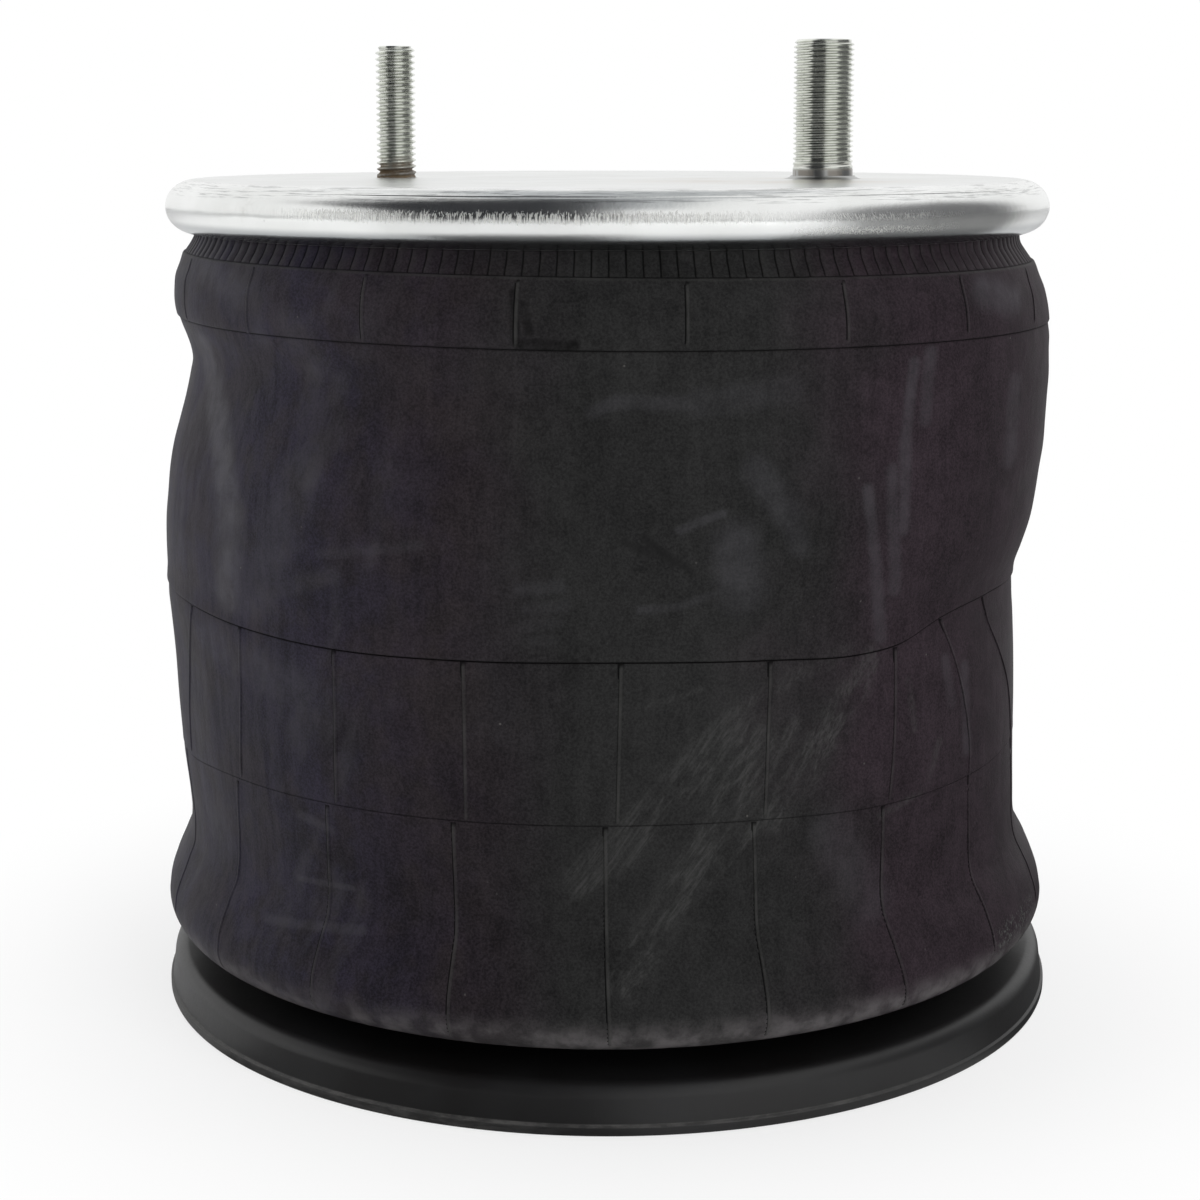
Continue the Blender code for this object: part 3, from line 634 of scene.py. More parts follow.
@dataclass(frozen=True)
class ZincSheet(Finish):
    """Zinc-plated sheet: rolled grain, handling scratches, pits and a scored rim."""

    bright: Triple = (0.88, 0.89, 0.88)
    dull: Triple = (0.78, 0.79, 0.775)
    stained: Triple = (0.42, 0.41, 0.37)
    sealant: Triple = (0.66, 0.61, 0.54)
    ringed: Triple = (0.30, 0.31, 0.31)
    under_rim_shade: Triple = (0.26, 0.28, 0.29)
    # Painted shade for the rim's underside.
    furrowed: Triple = (0.24, 0.235, 0.215)
    scored: Triple = (0.92, 0.92, 0.88)
    pitted: Triple = (0.14, 0.135, 0.13)
    rim_radius: float = 0.1335
    score_top: float = 0.2532
    score_bottom: float = 0.2508
    sealed: Triple = (0.0500, -0.0400, 0.2595)

    def paint(self, graph: Graph, place: Port) -> dict[str, object]:
        """Bright grey metal, scored upright where the tool closed the rim.

        Args:
            graph: The material's nodes.
            place: The coordinates.

        Returns:
            What goes into each socket, by its name.
        """
        x, y, z = graph.axes(place)
        radius = (x * x + y * y) ** 0.5
        on_rim = radius.rise(self.rim_radius - 0.002, self.rim_radius)
        clouds = graph.noise(place, 0.030, 4.0, 0.6)
        peel = graph.noise(place, 0.0028, 3.0, 0.6)
        fine = graph.noise(place, 0.0007, 3.0, 0.7)
        ragged = graph.noise(graph.stretched(place, (1.0, 1.0, 0.05)), 0.00032, 2.0, 0.6)
        jitter = graph.noise(graph.stretched(place, (1.0, 1.0, 0.05)), 0.0006, 3.0, 0.6)
        level = z + (jitter - 0.5) * 0.0042
        closed = level.rise(self.score_top + 0.0004, self.score_top - 0.0004) * level.rise(
            self.score_bottom - 0.0005, self.score_bottom + 0.0003
        )
        pressed = 0.12 + 0.88 * x.rise(-0.095, -0.075) * x.rise(0.060, 0.006)
        zone = closed * pressed * on_rim
        scores = ragged.rise(0.50, 0.58) * zone
        furrows = ragged.rise(0.50, 0.42) * zone
        leaning = graph.noise(graph.stretched(place, (1.0, 1.0, 0.07), 32.0), 0.00036, 2.0, 0.5)
        nicked = x.rise(0.046, 0.062) * x.rise(0.106, 0.080) * on_rim
        lean = z + (graph.noise(place, 0.006, 2.0) - 0.5) * 0.0022
        rows = lean.rise(0.2529, 0.2520) * lean.rise(0.2503, 0.2512) * 0.6
        rows = rows + lean.rise(0.2494, 0.2486) * lean.rise(0.2468, 0.2476)
        nicks = leaning.rise(0.46, 0.62) * nicked * rows
        rings = graph.noise(graph.stretched(place, (0.03, 0.03, 1.0)), 0.0005, 3.0, 0.7)
        shoulder = rings.rise(0.50, 0.64) * z.rise(0.2552, 0.2560) * on_rim
        turned = graph.noise(graph.stretched(place, (1.0, 0.045, 1.0)), 0.0013, 4.0, 0.8)
        hairs = turned.rise(0.64, 0.78) * (1.0 - on_rim)
        pits = graph.specks(place, 0.0060, 0.085) * z.rise(0.2462, 0.2482)
        pits = pits * graph.noise(place, 0.02, 2.0).rise(0.50, 0.64)
        beige = graph.near(place, self.sealed, 0.060) * clouds.rise(0.35, 0.60)
        stain = graph.noise(place, 0.014, 5.0, 0.7).rise(0.58, 0.78)
        metal = graph.layered(
            graph.mix(clouds.rise(0.3, 0.7), self.dull, self.bright),
            (stain * 0.30, self.stained),
            (beige * 0.7, self.sealant),
            (shoulder * 0.56, self.ringed),
            # Painted shade on the rim's underside, where it turns in towards the rubber.
            (z.rise(0.2482, 0.2458) * on_rim * 0.70, self.under_rim_shade),
            (furrows * 0.50, self.furrowed),
            ((scores + nicks).rise(0.0, 1.0) * 0.75, self.scored),
            (pits * 0.75, self.pitted),
        )
        height = fine * 0.008 + peel * 0.035 - hairs * 0.010 - scores * 0.020 - pits * 0.05
        return {
            "Base Color": metal,
            "Metallic": 1.0,
            "Roughness": 0.27 - 0.11 * on_rim + 0.12 * clouds + 0.26 * scores + 0.34 * nicks,
            "Normal": self.bump(graph, height),
        }


@dataclass(frozen=True)
class ZincBar(Finish):
    """Zinc-plated turned steel, with dirt that thickens towards a foot."""

    bright: Triple = (0.86, 0.88, 0.82)
    dull: Triple = (0.68, 0.70, 0.64)
    # Grey near the foot, and painted shade in the thread roots.
    grey: Triple = (0.30, 0.30, 0.31)
    dirt: Triple = (0.20, 0.15, 0.095)
    foot: float = 0.2595
    dirt_height: float = 0.006
    dirt_share: float = 0.5
    shine: float = 0.10

    def paint(self, graph: Graph, place: Port) -> dict[str, object]:
        """Plating with painted shade in the thread roots, and brown dirt in the roots near the foot.

        Args:
            graph: The material's nodes.
            place: The coordinates.

        Returns:
            What goes into each socket, by its name.
        """
        _, _, z = graph.axes(place)
        crease_shade = graph.mark(CREASE_SHADE)
        clouds = graph.noise(place, 0.006, 4.0, 0.65)
        fine = graph.noise(place, 0.0006, 3.0, 0.7)
        low = z.rise(self.foot + self.dirt_height, self.foot)
        grime = clouds.rise(0.35, 0.65) * low * self.dirt_share + crease_shade * 0.45 * (low + 0.35)
        grime = grime.rise(0.0, 1.0)
        rubbed = z.rise(self.foot + 0.0040, self.foot + 0.0022)
        metal = graph.mix(clouds.rise(0.3, 0.72), self.dull, self.bright)
        # The roots' grey is painted shade; the brown grime is dirt.
        layers = ((rubbed * 0.75, self.grey), (crease_shade * 0.28, self.grey), (grime, self.dirt))
        metal = graph.layered(metal, *layers)
        return {
            "Base Color": metal,
            "Metallic": 1.0 - 0.35 * grime,
            "Roughness": self.shine + 0.10 * clouds + 0.35 * grime + 0.16 * rubbed,
            "Normal": self.bump(graph, fine * 0.006),
        }


@dataclass(frozen=True)
class Composite(Finish):
    """Satin glass-filled nylon with flow marks and a worn foot lip."""

    colour: Triple = (0.0056, 0.0050, 0.0050)
    clouded: Triple = (0.0095, 0.0095, 0.0100)
    dusty: Triple = (0.070, 0.070, 0.068)
    worn: Triple = (0.115, 0.112, 0.108)
    lip_height: float = 0.0030
    lip_radius: float = 0.1425

    def paint(self, graph: Graph, place: Port) -> dict[str, object]:
        """Near black, with grey rub marks along the lip.

        Args:
            graph: The material's nodes.
            place: The coordinates.

        Returns:
            What goes into each socket, by its name.
        """
        x, y, z = graph.axes(place)
        radius = (x * x + y * y) ** 0.5
        step = z.rise(self.lip_height - 0.0007, self.lip_height - 0.0003) * z.rise(
            self.lip_height + 0.0004, self.lip_height + 0.0001
        )
        face = z.rise(self.lip_height - 0.0003, self.lip_height - 0.0006) * x.rise(0.010, -0.050)
        edge = (step + face * 0.6) * radius.rise(self.lip_radius - 0.0015, self.lip_radius)
        clouds = graph.noise(place, 0.035, 4.0, 0.6)
        grain = graph.noise(place, 0.0011, 4.0, 0.7)
        flow = graph.noise(graph.stretched(place, (1.0, 1.0, 0.25)), 0.009, 4.0, 0.7)
        rub = graph.noise(graph.stretched(place, (1.0, 1.0, 4.0)), 0.006, 5.0, 0.75)
        worn = edge * (0.35 + 0.65 * rub.rise(0.40, 0.62)) * x.rise(0.115, 0.075)
        dust = graph.noise(place, 0.0035, 5.0, 0.8).rise(0.62, 0.80)
        plastic = graph.mix(clouds.rise(0.3, 0.7), self.colour, self.clouded)
        plastic = graph.layered(plastic, (dust * 0.16, self.dusty), (worn * 0.6, self.worn))
        return {
            "Base Color": plastic,
            "Roughness": 0.30 + 0.14 * clouds + 0.12 * grain + 0.25 * worn,
            "Normal": self.bump(graph, grain * 0.030 + flow * 0.06),
        }


@dataclass(frozen=True)
class BufferRubber(Finish):
    """Smooth black rubber of the seal and the bump stop."""

    black: Triple = (0.018, 0.018, 0.018)
    bloomed: Triple = (0.040, 0.039, 0.038)

    def paint(self, graph: Graph, place: Port) -> dict[str, object]:
        """Plain black with a light bloom.

        Args:
            graph: The material's nodes.
            place: The coordinates.

        Returns:
            What goes into each socket, by its name.
        """
        bloom = graph.noise(place, 0.018, 5.0, 0.7)
        return {
            "Base Color": graph.mix(bloom.rise(0.35, 0.7), self.black, self.bloomed),
            "Roughness": 0.46 + 0.2 * bloom,
            "Normal": self.bump(graph, graph.noise(place, 0.0015, 4.0, 0.7) * 0.03),
        }


@dataclass(frozen=True)
class WeldBead(Finish):
    """Weld metal with ripples and heat tint."""

    straw: Triple = (0.30, 0.27, 0.22)
    blue: Triple = (0.22, 0.23, 0.27)

    def paint(self, graph: Graph, place: Port) -> dict[str, object]:
        """Dark grey with straw and blue tint.

        Args:
            graph: The material's nodes.
            place: The coordinates.

        Returns:
            What goes into each socket, by its name.
        """
        heat = graph.noise(place, 0.004, 4.0, 0.7)
        ripple = graph.noise(place, 0.0012, 3.0, 0.6)
        return {
            "Base Color": graph.mix(heat.rise(0.35, 0.65), self.straw, self.blue),
            "Metallic": 1.0,
            "Roughness": 0.38 + 0.25 * heat,
            "Normal": self.bump(graph, ripple * 0.25),
        }


@dataclass(frozen=True)
class BronzedWire(Finish):
    """A bundle of bronzed bead wire."""

    bronze: Triple = (0.42, 0.33, 0.20)
    brass: Triple = (0.55, 0.46, 0.32)
    strands: float = 5200.0

    def waves(self, along: Port) -> Port:
        """A sine that stands for the strands along one axis."""
        return along.maths("SINE", along * self.strands)

    def paint(self, graph: Graph, place: Port) -> dict[str, object]:
        """Brassy metal with the strands as fine lines.

        Args:
            graph: The material's nodes.
            place: The coordinates.

        Returns:
            What goes into each socket, by its name.
        """
        x, y, z = graph.axes(place)
        radius = (x * x + y * y) ** 0.5
        strand = self.waves(radius) + self.waves(z)
        tone = graph.noise(place, 0.006, 3.0)
        return {
            "Base Color": graph.mix(tone.rise(0.3, 0.7), self.bronze, self.brass),
            "Metallic": 1.0,
            "Roughness": 0.32 + 0.12 * tone,
            "Normal": self.bump(graph, strand * 0.05),
        }


RUBBER = MouldedRubber("bellows_rubber", Slot.RUBBER)
SHEET_ZINC = ZincSheet("plated_sheet", Slot.SHEET)
AIR_STUD_ZINC = ZincBar("air_stud_plating", Slot.STEEL, dirt_share=0.05)
OLD_STUD_ZINC = ZincBar(
    "mounting_stud_plating", Slot.STEEL, dirt_height=0.0085, dirt_share=0.80, shine=0.19
)
FITTINGS_ZINC = ZincBar("fittings_plating", Slot.STEEL, foot=-1.0)
NYLON = Composite("piston_composite", Slot.COMPOSITE)
BUFFER = BufferRubber("buffer_rubber_finish", Slot.BUFFER)
WELD = WeldBead("weld_metal_finish", Slot.WELD)
WIRE = BronzedWire("bead_wire_finish", Slot.WIRE)


def smooth_curve(points: Sequence[tuple[float, float]], at: np.ndarray) -> np.ndarray:
    """A smooth curve through points.

    Args:
        points: (position, value) pairs in rising order of position.
        at: Positions to read.

    Returns:
        Values there, held at the ends.
    """
    xs = np.array([p[0] for p in points], float)
    ys = np.array([p[1] for p in points], float)
    slopes = np.gradient(ys, xs)
    where = np.clip(at, xs[0], xs[-1])
    index = np.clip(np.searchsorted(xs, where) - 1, 0, len(xs) - 2)
    width = xs[index + 1] - xs[index]
    t = (where - xs[index]) / width
    rest = 1 - t
    return (
        ys[index] * (1 + 2 * t) * rest**2
        + slopes[index] * width * t * rest**2
        + ys[index + 1] * t**2 * (3 - 2 * t)
        - slopes[index + 1] * width * t**2 * rest
    )


def round_curve(points: Sequence[tuple[float, float]], at: np.ndarray) -> np.ndarray:
    """A smooth curve that closes over 360 degrees.

    Args:
        points: (azimuth, value) pairs in rising order, within one turn.
        at: Azimuths to read.

    Returns:
        Values there.
    """
    thrice = [(a + turn, v) for turn in (-360.0, 0.0, 360.0) for a, v in points]
    return smooth_curve(thrice, (np.asarray(at) + 180.0) % 360.0 - 180.0)


def on_circle(azimuth: np.ndarray, radius: np.ndarray, height: np.ndarray) -> np.ndarray:
    """Points from azimuths in degrees, radii and heights.

    Args:
        azimuth: Degrees from the front.
        radius: Distance from the axis.
        height: Z.

    Returns:
        An array of places, with x, y and z last.
    """
    angle = np.radians(azimuth)
    shape = np.broadcast(angle, radius, height).shape
    parts = (radius * np.sin(angle), -radius * np.cos(angle), height + 0.0 * angle)
    return np.stack([np.broadcast_to(p, shape) for p in parts], axis=-1)


def arc(
    centre: tuple[float, float], radius: float, start: float, end: float, steps: int
) -> Profile:
    """Points of an arc in the plane of radius and height.

    Args:
        centre: Its centre.
        radius: Its radius.
        start: First angle in degrees, from outwards towards up.
        end: Last angle.
        steps: Number of steps.

    Returns:
        The points.
    """
    angles = np.radians(np.linspace(start, end, steps + 1))
    return [(centre[0] + radius * math.cos(a), centre[1] + radius * math.sin(a)) for a in angles]


def link(name: str, mesh: bpy.types.Mesh, sharp: float = 35.0) -> bpy.types.Object:
    """Make an object of a mesh, with smooth shading up to an angle.

    Args:
        name: The piece's name.
        mesh: Its mesh.
        sharp: Edges that turn by more degrees than this stay sharp.

    Returns:
        The object.
    """
    mesh.shade_smooth()
    mesh.set_sharp_from_angle(angle=math.radians(sharp))
    obj = bpy.data.objects.new(name, mesh)
    bpy.context.scene.collection.objects.link(obj)
    return obj


def tidy(mesh: bpy.types.Mesh, reach: float = SHORT) -> None:
    """Merge close points, drop flat faces and turn a closed mesh's faces outwards.

    Args:
        mesh: The mesh.
        reach: Points nearer than this become one; 0 only turns the faces.
    """
    bm = bmesh.new()
    bm.from_mesh(mesh)
    if reach:
        bmesh.ops.remove_doubles(bm, verts=bm.verts, dist=reach)
        bmesh.ops.dissolve_degenerate(bm, edges=bm.edges, dist=reach)
    bmesh.ops.recalc_face_normals(bm, faces=bm.faces)
    bm.to_mesh(mesh)
    bm.free()


def grid(
    name: str,
    places: np.ndarray,
    round_columns: bool = True,
    round_rows: bool = False,
    marks: dict[str, np.ndarray] | None = None,
    shift: int = 0,
) -> bpy.types.Mesh:
    """A mesh of quads from a grid of places.

    Args:
        name: The mesh's name.
        places: Rows by columns by three.
        round_columns: Join the last column to the first.
        round_rows: Join the last row to the first.
        marks: Numbers for each place, kept as attributes of the points.
        shift: Rows by which the first column lies higher where the columns join.

    Returns:
        The mesh.
    """
    rows, columns, _ = places.shape
    index = np.arange(rows * columns).reshape(rows, columns)
    right = np.roll(index, -1, axis=1)
    if shift:
        right[:, -1] = np.concatenate([index[shift:, 0], np.repeat(index[-1:, 0], shift)])
    last_column = columns if round_columns else columns - 1
    quads = []
    for row in range(rows if round_rows else rows - 1):
        above = (row + 1) % rows
        quads.append(
            np.stack([index[row], right[row], right[above], index[above]], -1)[:last_column]
        )
    mesh = bpy.data.meshes.new(name)
    mesh.from_pydata(places.reshape(-1, 3).tolist(), [], np.concatenate(quads).tolist())
    for label, values in (marks or {}).items():
        layer = mesh.attributes.new(label, "FLOAT", "POINT")
        layer.data.foreach_set("value", values.astype(np.float32).ravel())
    return mesh


def lathe(
    name: str, profile: Profile, columns: int, closed: bool = True, sharp: float = 35.0
) -> bpy.types.Object:
    """A piece turned about the axis.

    Args:
        name: The piece's name.
        profile: (radius, height) points.
        columns: Sides round the axis.
        closed: Join the last point to the first.
        sharp: Edges that turn by more degrees than this stay sharp.

    Returns:
        The object.
    """
    radius, height = columns_of(profile)
    azimuth = np.arange(columns)[None, :] * 360.0 / columns
    mesh = grid(name, on_circle(azimuth, radius, height), True, closed)
    tidy(mesh)
    return link(name, mesh, sharp)


def new_mesh(name: str, bm: bmesh.types.BMesh) -> bpy.types.Mesh:
    """Make a mesh of what was built and free the builder.

    Args:
        name: The mesh's name.
        bm: What was built.

    Returns:
        The mesh.
    """
    mesh = bpy.data.meshes.new(name)
    bm.to_mesh(mesh)
    bm.free()
    return mesh


def reshade(obj: bpy.types.Object, sharp: float) -> None:
    """Shade a carved piece smooth up to an angle in degrees."""
    obj.data.shade_smooth()
    obj.data.set_sharp_from_angle(angle=math.radians(sharp))


def columns_of(profile: Profile) -> tuple[np.ndarray, np.ndarray]:
    """A profile's radii and heights, each as a column."""
    places = np.array(profile, float)
    return places[:, :1], places[:, 1:]


def keep_rest(obj: bpy.types.Object) -> None:
    """Keep each point's place at rest for the finish.

    Args:
        obj: The piece.
    """
    mesh = obj.data
    places = np.zeros(len(mesh.vertices) * 3, np.float32)
    mesh.vertices.foreach_get("co", places)
    layer = mesh.attributes.new(REST, "FLOAT_VECTOR", "POINT")
    layer.data.foreach_set("vector", places)


def carve(obj: bpy.types.Object, tool: bpy.types.Object, operation: str) -> None:
    """Combine a piece with a tool and drop the tool.

    Args:
        obj: The piece, whose mesh is renewed.
        tool: The closed tool.
        operation: A Boolean modifier's operation.
    """
    step = obj.modifiers.new("carve", "BOOLEAN")
    step.operation = operation
    step.object = tool
    result = bpy.data.meshes.new_from_object(
        obj.evaluated_get(bpy.context.evaluated_depsgraph_get())
    )
    tidy(result, CARVE_REACH)
    obj.modifiers.clear()
    old = obj.data
    result.name = old.name
    obj.data = result
    bpy.data.meshes.remove(old)
    bpy.data.objects.remove(tool)


def shift_piece(obj: bpy.types.Object, move: Triple) -> bpy.types.Object:
    """Move a piece's mesh, so that its object stays at the origin."""
    obj.data.transform(Matrix.Translation(move))
    return obj


@dataclass
class Thread:
    """A single-start 60 degree thread as a helical grid, outside on a bar or inside a bore.

    The form gives (share of the pitch, share of the height). A bar's thread runs out at its
    bottom and is chamfered at its top; a bore's is the reverse.
    """

    crest: float
    pitch: float
    bottom: float
    top: float
    runout: float = 0.0022
    inside: bool = False
    columns: int = 56
    flank: float = 0.6134
    past_root: float = 0.00006
    form: tuple[tuple[float, float], ...] = (
        (0.00, 0.0),
        (0.22, 0.0),
        (0.27, 0.10),
        (0.53, 0.93),
        (0.565, 1.0),
        (0.685, 1.0),
        (0.72, 0.93),
        (0.95, 0.10),
    )

    @property
    def depth(self) -> float:
        """Height of the thread's flank."""
        return self.flank * self.pitch

    @property
    def end_radius(self) -> float:
        """Radius of the chamfered end, just past the root."""
        reach = self.depth + self.past_root
        return self.crest + reach if self.inside else self.crest - reach

    def surface(self) -> tuple[np.ndarray, np.ndarray]:
        """Places of the threaded surface and how deep in the root each lies.

        Returns:
            Rows by columns by three, and rows by columns.
        """
        turns = math.ceil((self.top - self.bottom) / self.pitch) + 2
        share = np.array([part for part, _ in self.form])
        lift = np.array([up for _, up in self.form])
        along = (np.arange(-1, turns)[:, None] + share[None, :]).reshape(-1, 1)
        rise = np.tile(lift, turns + 1).reshape(-1, 1)
        turn = np.arange(self.columns)[None, :] / self.columns
        height = self.bottom + (along + turn) * self.pitch
        held = np.clip(height, self.bottom, self.top)
        near = height - self.bottom
        if self.inside:
            near = self.top - height
        deep = self.depth * (1 - rise) * np.clip(near / self.runout, 0, 1)
        if self.inside:
            radius = np.maximum(self.crest + deep, self.end_radius - (held - self.bottom))
        else:
            radius = np.minimum(self.crest - deep, self.end_radius + (self.top - held))
        return on_circle(turn * 360.0, radius, held), np.clip(1 - rise + 0.0 * height, 0, 1)

    def mesh(self, name: str) -> bpy.types.Mesh:
        """The threaded surface, open at both ends."""
        places, root = self.surface()
        # The root's depth becomes the mark for painted shade in thread roots.
        return grid(name, places, True, False, {CREASE_SHADE: root}, shift=len(self.form))


def threaded_mesh(thread: Thread, profiles: Sequence[Profile]) -> bmesh.types.BMesh:
    """A threaded surface with turned surfaces joined to its ends.

    Args:
        thread: The thread.
        profiles: Turned profiles that go with it.

    Returns:
        The closed mesh, at the axis.
    """
    bm = bmesh.new()
    bm.from_mesh(thread.mesh("thread"))
    for profile in profiles:
        radius, height = columns_of(profile)
        azimuth = np.arange(thread.columns)[None, :] * 360.0 / thread.columns
        part = grid("turned", on_circle(azimuth, radius, height), True, False)
        bm.from_mesh(part)
        bpy.data.meshes.remove(part)
    bmesh.ops.remove_doubles(bm, verts=bm.verts, dist=JOIN_REACH)
    bmesh.ops.dissolve_degenerate(bm, edges=bm.edges, dist=JOIN_REACH)
    bmesh.ops.recalc_face_normals(bm, faces=bm.faces)
    return bm


def threaded_piece(name: str, thread: Thread, profiles: Sequence[Profile]) -> bpy.types.Object:
    """A piece with a thread and turned ends.

    Args:
        name: The piece's name.
        thread: The thread.
        profiles: Turned profiles that go with it.

    Returns:
        The object, at the axis.
    """
    return link(name, new_mesh(name, threaded_mesh(thread, profiles)), 32.0)


@dataclass
class BeadPlate:
    """The zinc-plated plate with its edge rolled over the bellows' bead."""

    top: float = 0.2595
    thickness: float = 0.0028
    edge: float = 0.1400
    roll: float = 0.0090
    rim_height: float = 0.0165
    lip: float = 0.1313
    crease_height: float = 0.2573
    crease_depth: float = 0.00020
    crease_width: float = 0.00024
    crimp_ripple: float = 0.00012
    crimp_count: int = 30
    slow_ripple: tuple[int, float, float] = (7, 0.6, 1.0)
    ripple_reach: float = 0.006
    hole_columns: int = 64
    sharp: float = 40.0
    columns: int = 360

    def profile(self) -> Profile:
        """Section of the plate, from the middle of the top round the rim and back.

        Returns:
            The (radius, height) points.
        """
        half = self.rim_height / 2
        middle = (self.edge - self.roll, self.top - half)
        flat = [(self.edge - self.roll) * share for share in (0.0, 0.3, 0.6, 0.85, 0.96)]
        points = [(r, self.top) for r in flat]
        crease = math.degrees(math.asin((self.crease_height - middle[1]) / half))
        turns = [*np.linspace(90.0, -84.0, 49), *(crease + np.linspace(-3.0, 3.0, 7))]
        for angle in sorted(turns, reverse=True):
            a = math.radians(angle)
            radius = middle[0] + self.roll * math.cos(a)
            height = middle[1] + half * math.sin(a)
            away = abs(height - self.crease_height) / self.crease_width
            points.append((radius - self.crease_depth * max(0.0, 1 - away), height))
        bottom = self.top - self.rim_height
        points += [
            (self.lip + 0.0007, bottom + 0.00005),
            (self.lip + 0.00015, bottom + 0.0004),
            (self.lip, bottom + 0.0009),
            (self.lip, bottom + self.thickness),
        ]
        inner = self.roll - self.thickness
        inner_half = half - self.thickness
        for angle in np.linspace(-70.0, 90.0, 11):
            a = math.radians(angle)
            points.append((middle[0] + inner * math.cos(a), middle[1] + inner_half * math.sin(a)))
        points.append((0.0, self.top - self.thickness))
        return points

    def build(self, holes: Sequence[Triple]) -> bpy.types.Object:
        """Make the plate, ripple its rim and cut the studs' holes.

        Args:
            holes: (x, y, radius) of each hole.

        Returns:
            The plate.
        """
        plate = lathe("bead_plate", self.profile(), self.columns)
        middle = self.top - self.rim_height / 2
        count, share, lag = self.slow_ripple
        for vertex in plate.data.vertices:
            radius = math.hypot(vertex.co.x, vertex.co.y)
            if radius > self.lip + 0.002:
                angle = math.atan2(vertex.co.y, vertex.co.x)
                low = min(1.0, max(0.0, (middle + 0.002 - vertex.co.z) / self.ripple_reach))
                wave = math.cos(self.crimp_count * angle) + share * math.cos(count * angle + lag)
                factor = 1 - self.crimp_ripple * (1 + share - wave) / (1 + share) * low / radius
                vertex.co.x *= factor
                vertex.co.y *= factor
        for x, y, radius in holes:
            low, high = self.top - 3 * self.thickness, self.top + MM
            outline = [(0.0, low), (radius, low), (radius, high), (0.0, high)]
            tool = lathe("hole", outline, self.hole_columns)
            carve(plate, shift_piece(tool, (x, y, 0.0)), "DIFFERENCE")
        reshade(plate, self.sharp)
        SHEET_ZINC.dress(plate)
        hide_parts("upper_bead_plate")
        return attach(plate, Body.TOP_PLATE.value)


@dataclass
class Stud:
    """A threaded stud that stands up through the bead plate."""

    name: str
    node: str
    x: float
    y: float
    radius: float
    pitch: float
    height: float
    finish: ZincBar
    shank: float = 0.0
    runout: float = 0.0022
    bore: float = 0.0
    plate_top: float = 0.2595
    head_radius: float = 0.0125
    head_top: float = 0.2564
    head_thickness: float = 0.006
    head_edge: float = 0.0005
    mouth_width: float = 0.0009
    mouth_depth: float = 0.0008
    bore_groove: float = 0.00055
    bore_step: float = 0.0007
    bore_turns: int = 22

    def build(self) -> bpy.types.Object:
        """Make the threaded bar with its head, and its bore where it has one.

        Returns:
            The stud.
        """
        top = self.plate_top + self.height
        start = self.plate_top + self.shank
        thread = Thread(self.radius, self.pitch, start, top, self.runout)
        head_low = self.head_top - self.head_thickness
        outside = [
            (self.radius, start),
            (self.radius, self.head_top),
            (self.head_radius - self.head_edge, self.head_top),
            (self.head_radius, self.head_top - self.head_edge),
            (self.head_radius, head_low),
        ]
        tip = thread.end_radius
        if self.bore:
            mouth = self.bore + self.mouth_width
            throat = top - self.mouth_depth
            inner_thread = [(mouth, top), (self.bore + 0.0002, throat)]
            for turn in range(self.bore_turns):
                groove = 0.0 if turn % 2 else self.bore_groove
                inner_thread.append((self.bore + groove, throat - (turn + 1) * self.bore_step))
            inner_thread.append((self.bore, head_low))
            profiles = [[(tip, top), (mouth, top)], inner_thread, outside + [(self.bore, head_low)]]
        else:
            crown = [(tip, top), (tip * 0.55, top + 0.00002), (0.0, top + 0.00002)]
            profiles = [crown, outside + [(0.0, head_low)]]
        stud = threaded_piece(self.name, thread, profiles)
        shift_piece(stud, (self.x, self.y, 0.0))
        self.finish.dress(stud)
        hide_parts(self.node)
        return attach(stud, Body.TOP_PLATE.value)


@dataclass
class StudCollar:
    """The thin ring swaged round the air stud's foot."""

    x: float
    y: float
    inner: float = 0.009925
    width: float = 0.0020
    height: float = 0.0010
    plate_top: float = 0.2595
    underside: float = 0.2567
    edge: float = 0.0002
    hollow: float = 0.6

    def build(self) -> bpy.types.Object:
        """Make the ring, which slopes down to the plate.

        Returns:
            The ring.
        """
        outer = self.inner + self.width
        top = self.plate_top + self.height
        start, run = self.inner + self.edge, self.width - self.edge
        profile = [(self.inner, top - self.edge)]
        profile += [
            (start + run * share, top - self.height * share**self.hollow)
            for share in np.linspace(0.0, 1.0, 9)
        ]
        profile += [(outer, self.underside), (self.inner, self.underside)]
        ring = shift_piece(lathe("air_stud_ring", profile, 96), (self.x, self.y, 0.0))
        AIR_STUD_ZINC.dress(ring)
        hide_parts("air_stud_collar")
        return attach(ring, Body.TOP_PLATE.value)


